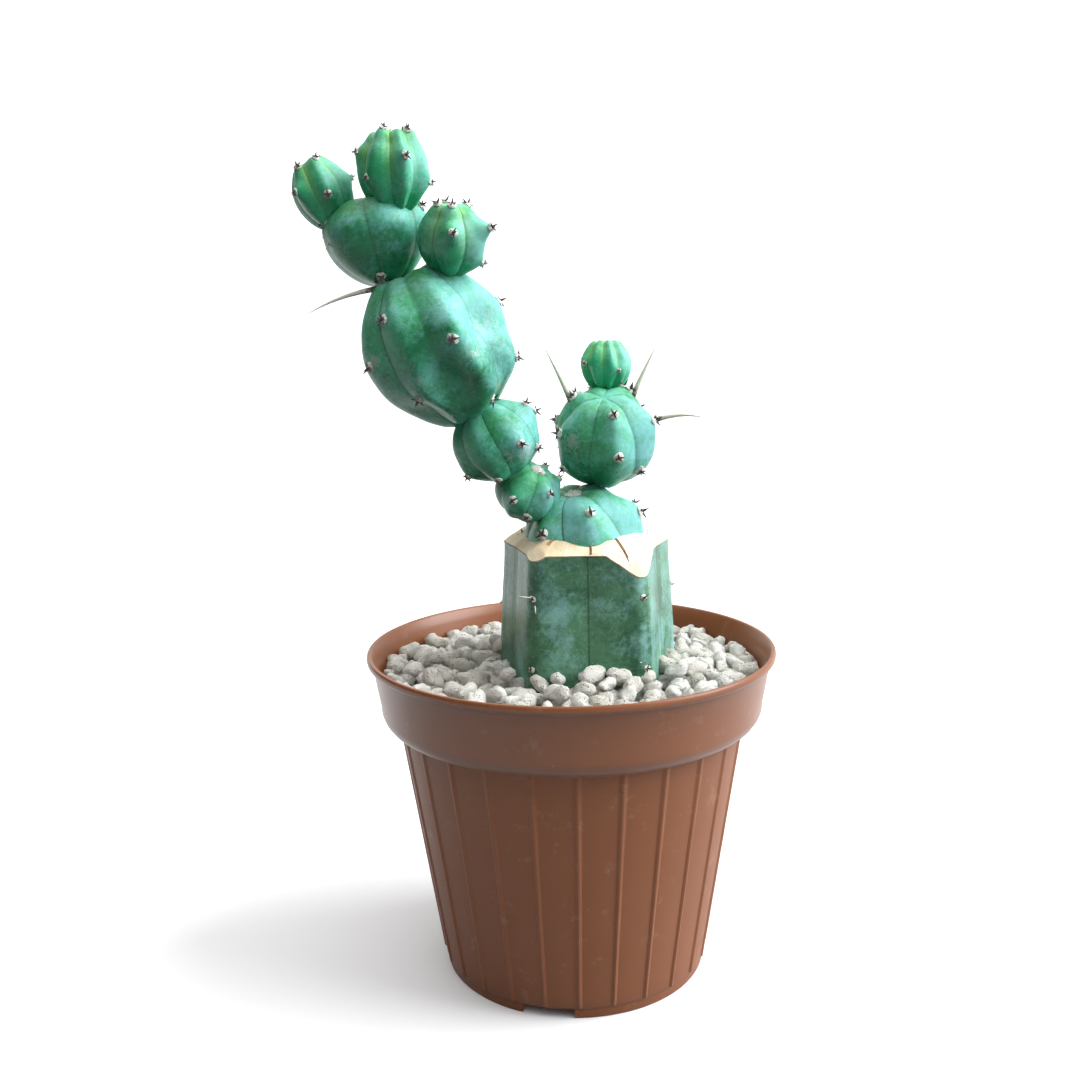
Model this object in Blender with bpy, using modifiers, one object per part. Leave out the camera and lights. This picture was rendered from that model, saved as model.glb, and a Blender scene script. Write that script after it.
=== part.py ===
"""A grafted cactus in a ribbed plastic nursery pot, with a pumice top dressing.

Each separate piece is one object: the pot, the potting mix, the pumice bed and its loose
stones, the cut rootstock, every stem segment of the scion, and the spines that stand out.
The stems form a tree: each one names the stem it grew on, the direction it grew in and how
far it is seated in its parent, so a change of one size moves all that grows on it.
Units are metres, +Z is up, and the pot stands on Z = 0.
"""

import math
import random
from dataclasses import dataclass

import bmesh
import bpy
from mathutils import Matrix, Vector

# ---------------------------------------------------------------- driving dimensions
GAP = 0.0003  # clearance between pieces that touch

# Pot: an injection-moulded nursery pot with a plain rim band and a ribbed body.
POT_HEIGHT = 0.097
RIM_RADIUS = 0.060
LIP_WIDTH = 0.0016
LIP_HEIGHT = 0.0022
WALL = 0.0013
BAND_TOP_RADIUS = 0.0585
BAND_FOOT_RADIUS = 0.0563
BAND_HEIGHT = 0.0158
BAND_STEP_DROP = 0.0057  # height of the curved step from the band in to the body
BODY_TOP_RADIUS = 0.0508
BODY_FOOT_RADIUS = 0.0398
FOOT_HEIGHT = 0.0032
FOOT_INSET = 0.0006
FOOT_WALL = 0.0022
FLOOR_THICKNESS = 0.0016
RIB_COUNT = 26
RIB_RADIUS = 0.0009
RIB_PROUD = 0.0006
RIB_PHASE = 1.4  # degrees from the front
NOTCH_COUNT = 3
NOTCH_ANGLE = 22.0  # degrees of the foot ring that one notch opens
NOTCH_PHASE = -11.5
DRAIN_COUNT = 4
DRAIN_RADIUS = 0.0040
DRAIN_CIRCLE = 0.0250
STEPS = 2 * RIB_COUNT

# Growing medium: potting mix under a bed of pumice, with loose stones on it.
BED_BELOW_RIM = 0.0085
BED_DEPTH = 0.0105
STONE_COUNT = 18
STONE_WIDTH = 0.0096
STONE_SWING = 0.80  # share of the free room in which the stones swing from wall to stem
STONE_SINK = 0.42  # share of a stone's height that lies in the bed
STONE_SEED = 11

# Rootstock: a five-ribbed column whose cut slopes up all round to the scion's foot.
STOCK_CENTRE = (0.0052, 0.0010)
STOCK_RIBS = 5
STOCK_RIB_RADIUS = 0.0254
STOCK_FLAT_RADIUS = 0.0212
STOCK_FURROW = 0.0008
STOCK_BULGE = 0.0008
STOCK_ABOVE_BED = 0.0382  # to the shoulder, where the cut's slope starts
CUT_RISE = 0.0042
CUT_RUN = 0.0058
STOCK_BURIED = 0.0220  # below the pumice bed, in the potting mix
STOCK_PHASE = 36.0  # degrees from the front to the first rib
RIB_BEVELS = (0.0068, 0.0016, 0.0016, 0.0016, 0.0022)  # drop of each rib's bevel

# Stems wider than each width have this many segments to a rib, and rings.
FINENESS = ((0.034, (8, 16)), (0.022, (6, 12)), (0.0, (4, 10)))

GREENS = {
    "stock": (0.055, 0.150, 0.090, 1.0),
    "stem": (0.080, 0.260, 0.170, 1.0),
    "bud": (0.130, 0.380, 0.200, 1.0),
}


# ---------------------------------------------------------------- plain helpers
@dataclass(frozen=True)
class Stem:
    """One stem segment: a ribbed ellipsoid seated on the stem that it grew from."""

    name: str
    parent: str
    toward: tuple  # from the parent's centre to this one's, any length
    axis: tuple  # from this stem's base to its growing tip
    width: float
    length: float
    sink: float  # how deep the two stems run into each other
    ribs: int = 6
    rib_depth: float = 0.10
    egg: float = 0.0  # above 0 the tip end is the wider one
    twist: float = 0.0  # degrees that a rib turns from base to tip
    phase: float = 0.0
    green: str = "stem"
    clears: tuple = ()  # other stems that this one is trimmed to clear


@dataclass(frozen=True)
class Spine:
    """One spine: a tapering, slightly bent thorn that starts in its stem's skin."""

    name: str
    stem: str
    areole: tuple  # from the stem's centre to the spine's foot, any length
    tip: tuple  # from the spine's foot to its tip, any length
    length: float
    radius: float
    bend: float = 0.0  # sideways bow, as a share of the length
    drop: float = 0.0  # of a foot on the rootstock, below its shoulder


STEMS = (
    Stem("scion_base", "rootstock", (-0.0012, -0.0020, 0.0003), (-0.16, -0.20, 1.0),
         0.0350, 0.0365, 0.0145, ribs=6, rib_depth=0.12, phase=22.0),
    Stem("right_offset", "scion_base", (0.0070, 0.0020, 0.0310), (-0.04, -0.42, 0.90),
         0.0300, 0.0292, 0.0008, ribs=6, rib_depth=0.11, phase=14.0, clears=("rootstock",)),
    Stem("right_offset_bud", "right_offset", (0.0006, 0.0050, 0.0201), (0.00, 0.10, 1.0),
         0.0152, 0.0160, 0.0017, ribs=8, rib_depth=0.10, egg=0.10, green="bud"),
    Stem("left_offset_lower", "scion_base", (-0.0153, -0.0060, 0.0164), (0.42, -0.35, 0.84),
         0.0190, 0.0172, 0.0034, ribs=6, rib_depth=0.07, phase=20.0, clears=("rootstock",)),
    Stem("left_offset_middle", "left_offset_lower", (-0.0087, -0.0010, 0.0148),
         (-0.36, -0.10, 0.93), 0.0252, 0.0232, 0.0034, ribs=6, rib_depth=0.07, twist=15.0,
         phase=35.0),
    Stem("left_offset_large", "left_offset_middle", (-0.0152, -0.0020, 0.0261),
         (-0.38, -0.06, 0.92), 0.0410, 0.0456, 0.0040, ribs=5, rib_depth=0.12, egg=0.05,
         twist=40.0, phase=12.0),
    Stem("crown_segment", "left_offset_large", (-0.0156, 0.0020, 0.0289),
         (-0.22, 0.00, 0.97), 0.0288, 0.0250, 0.0023, ribs=5, rib_depth=0.12, egg=0.14,
         phase=40.0),
    Stem("crown_bud_left", "crown_segment", (-0.0135, -0.0010, 0.0120),
         (-0.42, -0.05, 0.90), 0.0164, 0.0200, 0.0042, ribs=5, rib_depth=0.11, egg=0.08,
         phase=18.0, green="bud"),
    Stem("crown_bud_centre", "crown_segment", (0.0060, -0.0060, 0.0166),
         (0.00, -0.10, 1.0), 0.0196, 0.0226, 0.0050, ribs=6, rib_depth=0.12, egg=0.08,
         phase=8.0, green="bud", clears=("crown_bud_left",)),
    Stem("crown_bud_right", "left_offset_large", (0.0059, -0.0080, 0.0281),
         (0.10, -0.28, 0.95), 0.0188, 0.0196, 0.0020, ribs=5, rib_depth=0.10, egg=0.06,
         phase=30.0, green="bud", clears=("crown_segment", "crown_bud_centre")),
)

SPINES = (
    Spine("long_spine_large_offset", "left_offset_large", (-0.0150, -0.0050, 0.0190),
          (-1.0, -0.15, -0.30), 0.0230, 0.00075, bend=0.10),
    Spine("short_spine_crown", "crown_segment", (-0.0140, -0.0060, 0.0010),
          (-0.25, -0.60, -0.80), 0.0050, 0.00050),
    Spine("long_spine_right_offset_left", "right_offset", (-0.0105, -0.0020, 0.0105),
          (-0.43, -0.05, 0.90), 0.0195, 0.00085),
    Spine("long_spine_right_offset_right", "right_offset", (0.0085, 0.0000, 0.0115),
          (0.42, 0.00, 0.90), 0.0172, 0.00080),
    Spine("long_spine_right_offset_side", "right_offset", (0.0135, -0.0030, 0.0045),
          (1.0, -0.20, 0.10), 0.0175, 0.00080, bend=0.08),
    Spine("stock_spine_front_left_a", "rootstock", (-0.59, -0.81, 0.0), (-0.95, -0.50, 0.25),
          0.0050, 0.00030, drop=0.0115),
    Spine("stock_spine_front_left_b", "rootstock", (-0.59, -0.81, 0.0), (0.10, -0.90, -0.60),
          0.0042, 0.00028, drop=0.0128),
    Spine("stock_spine_front_right_a", "rootstock", (0.59, -0.81, 0.0), (-0.30, -0.95, 0.20),
          0.0038, 0.00028, drop=0.0300),
    Spine("stock_spine_front_right_b", "rootstock", (0.59, -0.81, 0.0), (0.75, -0.65, 0.15),
          0.0034, 0.00028, drop=0.0312),
    Spine("stock_spine_right_a", "rootstock", (0.95, 0.31, 0.0), (0.90, -0.30, 0.30),
          0.0065, 0.00028, drop=0.0145),
    Spine("stock_spine_right_b", "rootstock", (0.95, 0.31, 0.0), (0.80, -0.40, -0.50),
          0.0040, 0.00026, drop=0.0158),
)


def clear_scene():
    """Removes what the startup scene holds."""
    for item in list(bpy.data.objects):
        bpy.data.objects.remove(item)


def new_collection(name):
    """A collection of the scene, for the parts or for the cutters."""
    collection = bpy.data.collections.new(name)
    bpy.context.scene.collection.children.link(collection)
    return collection


def plain_material(name, colour, roughness):
    """A Principled BSDF material with one colour."""
    material = bpy.data.materials.new(name)
    material.use_nodes = True
    shader = material.node_tree.nodes["Principled BSDF"]
    shader.inputs["Base Color"].default_value = colour
    shader.inputs["Roughness"].default_value = roughness
    shader.inputs["Metallic"].default_value = 0.0
    return material


def object_from(bm, name, collection, material=None):
    """Makes an object of a bmesh, shaded smooth with sharp edges kept."""
    mesh = bpy.data.meshes.new(name)
    bm.normal_update()
    bm.to_mesh(mesh)
    bm.free()
    mesh.shade_smooth()
    mesh.set_sharp_from_angle(angle=math.radians(40))
    item = bpy.data.objects.new(name, mesh)
    collection.objects.link(item)
    if material is not None:
        mesh.materials.append(material)
    return item


def as_cutter(item):
    """Marks a helper that only cuts or joins others, and isn't a piece itself."""
    item.hide_render = True
    item.display_type = "WIRE"
    return item


def boolean(item, other, operation):
    """Adds a Boolean modifier with the exact solver."""
    modifier = item.modifiers.new(f"{operation.lower()}_{other.name}"[:60], "BOOLEAN")
    modifier.operation = operation
    modifier.object = other
    modifier.solver = "EXACT"


def grow(bm, distance):
    """Moves a closed surface out along its normals."""
    bm.normal_update()
    for vertex in bm.verts:
        vertex.co += vertex.normal * distance


def along(direction, centre):
    """A matrix that turns local +Z to a direction and moves the origin to a centre."""
    turn = Vector(direction).normalized().to_track_quat("Z", "Y")
    return Matrix.Translation(centre) @ turn.to_matrix().to_4x4()


def turned(name, profile, collection, material=None):
    """A turned solid: the profile of (radius, height) points is spun about Z."""
    bm = bmesh.new()
    points = [bm.verts.new((radius, 0.0, height)) for radius, height in profile]
    for start, end in zip(points, points[1:]):
        bm.edges.new((start, end))
    item = object_from(bm, name, collection, material)
    screw = item.modifiers.new("spin", "SCREW")
    screw.axis = "Z"
    screw.steps = STEPS
    screw.render_steps = STEPS
    screw.use_merge_vertices = True
    screw.merge_threshold = 0.00005
    screw.use_smooth_shade = True
    return item


def bed_top():
    """Height of the pumice bed's top."""
    return POT_HEIGHT - BED_BELOW_RIM


def mix_top():
    """Height of the potting mix's top."""
    return bed_top() - BED_DEPTH


def stock_shoulder():
    """Height of the rootstock's shoulder, where the cut's slope starts."""
    return bed_top() + STOCK_ABOVE_BED


def stock_foot():
    """Height of the rootstock's buried end."""
    return mix_top() - STOCK_BURIED


# ---------------------------------------------------------------- pot
def band_foot():
    """Height of the lower edge of the rim band."""
    return POT_HEIGHT - BAND_HEIGHT


def step_foot():
    """Height at which the curved step under the band meets the body."""
    return band_foot() - BAND_STEP_DROP


def step_arc(wall=0.0, points=4):
    """The curved step from the band's foot in to the body, as (radius, height) points.

    wall is 0 for the outside, and the wall's thickness for the inside.
    """
    reach = BAND_FOOT_RADIUS - BODY_TOP_RADIUS
    arc = []
    for index in range(points + 1):
        turn = math.radians(90.0 * index / points)
        arc.append((BODY_TOP_RADIUS + reach * math.cos(turn) - wall,
                    step_foot() + BAND_STEP_DROP * (1.0 - math.sin(turn))
                    + wall * math.sin(turn)))
    return arc


def outer_wall():
    """The pot's outside from the lip down to the body's foot."""
    return [
        (RIM_RADIUS, POT_HEIGHT - 0.5 * LIP_HEIGHT),
        (RIM_RADIUS - 0.25 * LIP_WIDTH, POT_HEIGHT - LIP_HEIGHT),
        (BAND_TOP_RADIUS, POT_HEIGHT - 1.3 * LIP_HEIGHT),
        *step_arc(),
        (BODY_FOOT_RADIUS, FOOT_HEIGHT),
    ]


def inner_wall():
    """The pot's inside from the floor up to the lip."""
    floor_top = FOOT_HEIGHT + FLOOR_THICKNESS
    slope = (BODY_TOP_RADIUS - BODY_FOOT_RADIUS) / (step_foot() - FOOT_HEIGHT)
    return [
        (BODY_FOOT_RADIUS + slope * FLOOR_THICKNESS - WALL, floor_top),
        *reversed(step_arc(WALL)),
        (BAND_TOP_RADIUS - WALL, POT_HEIGHT - 1.3 * LIP_HEIGHT),
        (RIM_RADIUS - LIP_WIDTH, POT_HEIGHT - 0.3 * LIP_HEIGHT),
    ]


def inner_radius(height):
    """The pot's inner radius at a height."""
    wall = inner_wall()
    for (low_radius, low), (high_radius, high) in zip(wall, wall[1:]):
        if low <= height <= high:
            share = (height - low) / (high - low)
            return low_radius + share * (high_radius - low_radius)
    return wall[-1][0]


def pot_profile():
    """The pot's whole section, from the inside of the floor round to its underside."""
    foot_outer = BODY_FOOT_RADIUS - FOOT_INSET
    return [
        (0.0, FOOT_HEIGHT + FLOOR_THICKNESS),
        *inner_wall(),
        (RIM_RADIUS - 0.7 * LIP_WIDTH, POT_HEIGHT),
        (RIM_RADIUS - 0.2 * LIP_WIDTH, POT_HEIGHT),
        *outer_wall(),
        (foot_outer, FOOT_HEIGHT),
        (foot_outer, 0.0),
        (foot_outer - FOOT_WALL, 0.0),
        (foot_outer - FOOT_WALL, FOOT_HEIGHT),
        (0.0, FOOT_HEIGHT),
    ]


def rib_bars(collection):
    """All the ribs of the pot's body, as one helper of separate bars."""
    top = Vector((BODY_TOP_RADIUS + RIB_PROUD - RIB_RADIUS, 0.0, step_foot() + 0.3 * WALL))
    foot = Vector((BODY_FOOT_RADIUS + RIB_PROUD - RIB_RADIUS, 0.0, FOOT_HEIGHT + RIB_RADIUS))
    bm = bmesh.new()
    for index in range(RIB_COUNT):
        angle = math.radians(RIB_PHASE - 90.0 + index * 360.0 / RIB_COUNT)
        place = Matrix.Rotation(angle, 4, "Z") @ along(top - foot, (top + foot) / 2)
        bmesh.ops.create_cone(bm, cap_ends=True, segments=8, radius1=RIB_RADIUS,
                              radius2=RIB_RADIUS, depth=(top - foot).length, matrix=place)
    return as_cutter(object_from(bm, "pot_rib_bars", collection))


def foot_notches(collection):
    """The blocks that open the foot ring, so that water can run out."""
    bm = bmesh.new()
    outer = BODY_FOOT_RADIUS - FOOT_INSET
    width = 2.0 * outer * math.sin(math.radians(NOTCH_ANGLE / 2.0))
    for index in range(NOTCH_COUNT):
        angle = math.radians(NOTCH_PHASE - 90.0 + index * 360.0 / NOTCH_COUNT)
        middle = (outer - 0.5 * FOOT_WALL, 0.0, 0.0)
        size = (5.0 * FOOT_WALL, width, 2.0 * (FOOT_HEIGHT - GAP))
        place = Matrix.Rotation(angle, 4, "Z") @ Matrix.Translation(middle)
        bmesh.ops.create_cube(bm, size=1.0, matrix=place @ Matrix.Diagonal((*size, 1.0)))
    return as_cutter(object_from(bm, "pot_foot_notches", collection))


def drain_holes(collection):
    """The drills of the drainage holes in the pot's floor: a ring of them and a middle one."""
    bm = bmesh.new()
    depth = 4.0 * (FOOT_HEIGHT + FLOOR_THICKNESS)
    places = [(0.0, 0.0)]
    for index in range(DRAIN_COUNT):
        angle = math.radians(NOTCH_PHASE - 90.0 + index * 360.0 / DRAIN_COUNT)
        places.append((DRAIN_CIRCLE * math.cos(angle), DRAIN_CIRCLE * math.sin(angle)))
    for x, y in places:
        bmesh.ops.create_cone(bm, cap_ends=True, segments=16, radius1=DRAIN_RADIUS,
                              radius2=DRAIN_RADIUS, depth=depth,
                              matrix=Matrix.Translation((x, y, FOOT_HEIGHT)))
    return as_cutter(object_from(bm, "pot_drain_holes", collection))


def make_pot(parts, cutters):
    """The pot: a turned shell with ribs, a notched foot ring and drainage holes."""
    brown = plain_material("pot_plastic", (0.230, 0.085, 0.045, 1.0), 0.45)
    pot = turned("pot", pot_profile(), parts, brown)
    boolean(pot, rib_bars(cutters), "UNION")
    boolean(pot, foot_notches(cutters), "DIFFERENCE")
    boolean(pot, drain_holes(cutters), "DIFFERENCE")
    return pot


# ---------------------------------------------------------------- growing medium
def filled_profile(low, high):
    """The section of a fill that lies in the pot between two heights, clear of its wall.

    It stands off the wall by the gap both inwards and upwards, so that it also clears the
    nearly level part of the curved step.
    """
    heights = [low]
    heights += [height + GAP for _, height in inner_wall() if low < height + GAP < high]
    heights.append(high)
    wall = [(inner_radius(height - GAP) - GAP, height) for height in reversed(heights)]
    return [(0.0, high), *wall, (0.0, low)]


def stone(bm, centre, width, rng, extra=0.0):
    """One pumice stone: a rounded, uneven lump of a random shape and turn."""
    made = bmesh.ops.create_icosphere(bm, subdivisions=2, radius=0.5)
    turn = Matrix.Rotation(rng.uniform(0, math.tau), 4, "Z")
    tilt = Matrix.Rotation(rng.uniform(-0.5, 0.5), 4, "X")
    stretch = (rng.uniform(0.95, 1.30), rng.uniform(0.75, 0.95), rng.uniform(0.66, 0.84))
    lumps = [(Vector([rng.uniform(-1, 1) for _ in range(3)]).normalized(),
              rng.uniform(-0.10, 0.10)) for _ in range(5)]
    place = Matrix.Translation(centre) @ turn @ tilt
    for vertex in made["verts"]:
        out = vertex.co.normalized()
        swell = sum(size * max(0.0, out.dot(way)) ** 2 for way, size in lumps)
        local = Vector([part * share for part, share in zip(vertex.co, stretch)])
        vertex.co = place @ (local * width * (1.0 + swell) + out * extra)


def stone_places():
    """(centre, width, seed) of each loose stone: a ring that swings between stem and wall."""
    rng = random.Random(STONE_SEED)
    found = []
    for index in range(STONE_COUNT):
        turn = math.tau * (index + 0.10 * rng.uniform(-1, 1)) / STONE_COUNT
        side = Vector((math.cos(turn), math.sin(turn), 0.0))
        near = Vector((*STOCK_CENTRE, 0.0)) + side * STOCK_RIB_RADIUS
        far = side * inner_radius(bed_top())
        middle = (near + far) / 2
        free = (far - near).length / 2 - 0.72 * STONE_WIDTH - GAP
        swing = STONE_SWING * free * (1.0 if index % 2 else -1.0)
        width = STONE_WIDTH * rng.uniform(0.82, 1.00)
        centre = middle + side * swing
        centre.z = bed_top() + (0.5 - STONE_SINK) * 0.75 * width
        found.append((centre, width, rng.randrange(10_000)))
    return found


def make_medium(parts, cutters, stock_cutter):
    """The potting mix, the pumice bed on it and the loose stones on the bed."""
    mix_colour = plain_material("potting_mix", (0.045, 0.030, 0.020, 1.0), 0.95)
    pumice = plain_material("pumice", (0.480, 0.440, 0.370, 1.0), 0.95)
    floor_top = FOOT_HEIGHT + FLOOR_THICKNESS + GAP
    mix = turned("potting_mix", filled_profile(floor_top, mix_top()), parts, mix_colour)
    bed = turned("pumice_bed", filled_profile(mix_top() + GAP, bed_top()), parts, pumice)
    boolean(mix, stock_cutter, "DIFFERENCE")
    boolean(bed, stock_cutter, "DIFFERENCE")
    sockets = bmesh.new()
    for number, (centre, width, seed) in enumerate(stone_places(), start=1):
        stone(sockets, centre, width, random.Random(seed), extra=GAP)
        bm = bmesh.new()
        stone(bm, centre, width, random.Random(seed))
        object_from(bm, f"pumice_stone_{number:02d}", parts, pumice)
    boolean(bed, as_cutter(object_from(sockets, "stone_sockets", cutters)), "DIFFERENCE")


# ---------------------------------------------------------------- rootstock
def stock_radius(turn):
    """The rootstock's radius at an angle in degrees from a rib: flats, blunt ribs, furrows."""
    half = 180.0 / STOCK_RIBS
    away = abs((turn + half) % (2 * half) - half)  # 0 on a rib, half at a furrow
    from_flat = math.radians(half - away)
    flat = STOCK_FLAT_RADIUS / math.cos(from_flat)
    furrow = STOCK_FURROW * math.exp(-((half - away) / 4.0) ** 2)
    return min(flat, STOCK_RIB_RADIUS) - furrow


def stock_bulge(share):
    """How far the column swells, at a share of its height from its foot."""
    return STOCK_BULGE * math.sin(math.pi * share)


def stock_body(extra=0.0):
    """The rootstock's ribbed column with its sloping cut, as a bmesh."""
    bm = bmesh.new()
    segments = 8 * STOCK_RIBS
    bmesh.ops.create_cone(bm, cap_ends=True, segments=segments, radius1=1.0, radius2=1.0,
                          depth=1.0)
    sides = [edge for edge in bm.edges if abs(edge.verts[0].co.z - edge.verts[1].co.z) > 0.5]
    bmesh.ops.subdivide_edges(bm, edges=sides, cuts=3)
    for vertex in bm.verts:
        turn = math.degrees(math.atan2(vertex.co.y, vertex.co.x))
        share = vertex.co.z + 0.5
        radius = stock_radius(turn + 90.0 - STOCK_PHASE) + stock_bulge(share) + extra
        height = (stock_foot() - extra) * (1 - share) + (stock_shoulder() + extra) * share
        vertex.co = Vector((STOCK_CENTRE[0] + radius * math.cos(math.radians(turn)),
                            STOCK_CENTRE[1] + radius * math.sin(math.radians(turn)), height))
    top = max(bm.faces, key=lambda face: face.calc_center_median().z)
    bmesh.ops.inset_region(bm, faces=[top], thickness=CUT_RUN, use_even_offset=False)
    for vertex in top.verts:
        vertex.co.z += CUT_RISE
    return bm


def bevel_blocks(collection):
    """The slanting blocks that bevel the ribs at the shoulder."""
    bm = bmesh.new()
    for index, drop in enumerate(RIB_BEVELS):
        angle = math.radians(STOCK_PHASE - 90.0 + index * 360.0 / STOCK_RIBS)
        size = 4.0 * drop
        edge = Vector((STOCK_RIB_RADIUS + STOCK_BULGE, 0.0, stock_shoulder() - drop))
        tilt = Matrix.Rotation(math.radians(-48.0), 4, "Y")
        lift = Matrix.Translation((0.0, 0.0, size / 2))
        wide = Matrix.Diagonal((3.0 * size, 3.0 * size, size, 1.0))
        place = Matrix.Rotation(angle, 4, "Z") @ Matrix.Translation(edge) @ tilt.inverted()
        middle = Matrix.Translation((*STOCK_CENTRE, 0.0))
        bmesh.ops.create_cube(bm, size=1.0, matrix=middle @ place @ lift @ wide)
    return as_cutter(object_from(bm, "rootstock_rib_bevels", collection))


def make_rootstock(parts, cutters):
    """The rootstock, and the slightly larger helper that its neighbours are cut by."""
    green = plain_material("rootstock_skin", GREENS["stock"], 0.60)
    stock = object_from(stock_body(), "rootstock", parts, green)
    boolean(stock, bevel_blocks(cutters), "DIFFERENCE")
    return as_cutter(object_from(stock_body(extra=GAP), "rootstock_clearance", cutters))


# ---------------------------------------------------------------- stems
def shape_factor(stem, turn, share):
    """How far a stem's surface is drawn in by its furrows, at a turn in degrees.

    share is 0 at the base and 1 at the growing tip.
    """
    wave = math.radians(stem.ribs * (turn - stem.phase - stem.twist * (share - 0.5)) / 2.0)
    furrow = 1.0 - abs(math.cos(wave)) ** 1.2
    fade = math.sin(math.pi * min(1.0, max(0.0, share))) ** 0.5
    return 1.0 - stem.rib_depth * furrow * (0.35 + 0.65 * fade)


def stem_body(stem, centre, extra=0.0):
    """A stem's ribbed ellipsoid as a bmesh, in place."""
    bm = bmesh.new()
    per_rib, rings = next(fine for width, fine in FINENESS if stem.width > width)
    bmesh.ops.create_uvsphere(bm, u_segments=per_rib * stem.ribs, v_segments=rings, radius=1.0)
    place = along(stem.axis, centre)
    for vertex in bm.verts:
        share = 0.5 + 0.5 * vertex.co.z
        turn = math.degrees(math.atan2(vertex.co.y, vertex.co.x))
        draw = shape_factor(stem, turn, share) * (1.0 + stem.egg * vertex.co.z)
        local = Vector((vertex.co.x * draw * stem.width / 2,
                        vertex.co.y * draw * stem.width / 2,
                        vertex.co.z * stem.length / 2))
        vertex.co = place @ local
    if extra:
        grow(bm, extra)
    return bm


def reach(stem, direction):
    """Distance from a stem's centre to its mean surface, in a direction."""
    axis = Vector(stem.axis).normalized()
    way = Vector(direction).normalized()
    rise = way.dot(axis)
    side = math.sqrt(max(0.0, 1.0 - rise * rise))
    width = stem.width * (1.0 + stem.egg * rise) * (1.0 - 0.4 * stem.rib_depth) / 2
    return 1.0 / math.sqrt((side / width) ** 2 + (rise / (stem.length / 2)) ** 2)


def stem_centres():
    """Where each stem's centre is: the tree is followed from the rootstock's cut."""
    by_name = {stem.name: stem for stem in STEMS}
    centres = {}
    for stem in STEMS:
        way = Vector(stem.toward).normalized()
        if stem.parent in by_name:
            out = reach(by_name[stem.parent], way)
            centres[stem.name] = centres[stem.parent] + way * (
                out + reach(stem, -way) - stem.sink)
        else:
            cut = Vector((*STOCK_CENTRE, stock_shoulder()))
            centres[stem.name] = cut + way * (reach(stem, -way) - stem.sink)
    return centres


def make_stems(parts, cutters, stock_cutter):
    """Every stem segment, each trimmed to sit on its parent, and the helpers that trim."""
    skins = {name: plain_material(f"{name}_skin", colour, 0.50)
             for name, colour in GREENS.items()}
    centres = stem_centres()
    clearances = {"rootstock": stock_cutter}
    for stem in STEMS:
        centre = centres[stem.name]
        item = object_from(stem_body(stem, centre), stem.name, parts, skins[stem.green])
        for other in (stem.parent, *stem.clears):
            boolean(item, clearances[other], "DIFFERENCE")
        grown = object_from(stem_body(stem, centre, extra=GAP), f"{stem.name}_clearance", cutters)
        clearances[stem.name] = as_cutter(grown)
    return centres, clearances


# ---------------------------------------------------------------- spines
def spine_foot(spine, centres):
    """Where a spine's middle line starts, a little under its stem's skin."""
    way = Vector(spine.areole).normalized()
    if spine.stem == "rootstock":
        turn = math.degrees(math.atan2(way.y, way.x)) + 90.0 - STOCK_PHASE
        share = 1.0 - spine.drop / (stock_shoulder() - stock_foot())
        out = stock_radius(turn) + stock_bulge(share) - 2 * spine.radius
        return Vector((*STOCK_CENTRE, stock_shoulder() - spine.drop)) + way * out
    stem = next(item for item in STEMS if item.name == spine.stem)
    return centres[spine.stem] + way * (reach(stem, way) - 3 * spine.radius)


def spine_mesh(spine, start, collection):
    """A spine's tapering tube from a curve, with its caps welded on."""
    way = Vector(spine.tip).normalized()
    side = way.cross(Vector((0.0, 1.0, 0.0)))
    side = side.normalized() if side.length > 0.1 else Vector((0.0, 0.0, 1.0))
    if side.z < 0:
        side = -side
    sections = 5
    curve = bpy.data.curves.new(spine.name, "CURVE")
    curve.dimensions = "3D"
    curve.bevel_depth = spine.radius
    curve.bevel_resolution = 1
    curve.use_fill_caps = True
    line = curve.splines.new("POLY")
    line.points.add(sections - 1)
    for index, point in enumerate(line.points):
        share = index / (sections - 1)
        bow = spine.bend * spine.length * math.sin(math.pi * share)
        point.co = (*(start + way * spine.length * share + side * bow), 1.0)
        point.radius = 1.0 - 0.85 * share
    guide = bpy.data.objects.new(spine.name, curve)
    collection.objects.link(guide)
    bpy.context.view_layer.update()
    graph = bpy.context.evaluated_depsgraph_get()
    mesh = bpy.data.meshes.new_from_object(guide.evaluated_get(graph))
    bpy.data.objects.remove(guide)
    bm = bmesh.new()
    bm.from_mesh(mesh)
    bmesh.ops.remove_doubles(bm, verts=bm.verts, dist=0.00001)
    return bm


def make_spines(parts, centres, clearances):
    """The spines that stand out, each trimmed where it enters its stem."""
    horn = plain_material("spine_horn", (0.420, 0.380, 0.280, 1.0), 0.45)
    for spine in SPINES:
        bm = spine_mesh(spine, spine_foot(spine, centres), parts)
        item = object_from(bm, spine.name, parts, horn)
        boolean(item, clearances[spine.stem], "DIFFERENCE")


# ---------------------------------------------------------------- the whole plant
def centre_on_stand(parts, root):
    """Moves the whole model so that its box is centred over the origin, standing on Z = 0."""
    bpy.context.view_layer.update()
    graph = bpy.context.evaluated_depsgraph_get()
    corners = [item.matrix_world @ Vector(corner) for item in parts.objects
               for corner in item.evaluated_get(graph).bound_box]
    for axis in (0, 1):
        values = [corner[axis] for corner in corners]
        root.location[axis] = -(min(values) + max(values)) / 2
    root.location[2] = -min(corner[2] for corner in corners)


def main():
    """Builds the potted cactus."""
    clear_scene()
    parts = new_collection("potted_cactus")
    cutters = new_collection("cutters")
    make_pot(parts, cutters)
    stock_cutter = make_rootstock(parts, cutters)
    make_medium(parts, cutters, stock_cutter)
    centres, clearances = make_stems(parts, cutters, stock_cutter)
    make_spines(parts, centres, clearances)
    root = bpy.data.objects.new("plant_root", None)
    bpy.context.scene.collection.objects.link(root)
    for item in [*parts.objects, *cutters.objects]:
        item.parent = root
    centre_on_stand(parts, root)


main()
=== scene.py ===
"""The grafted cactus in its nursery pot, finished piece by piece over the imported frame."""

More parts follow.
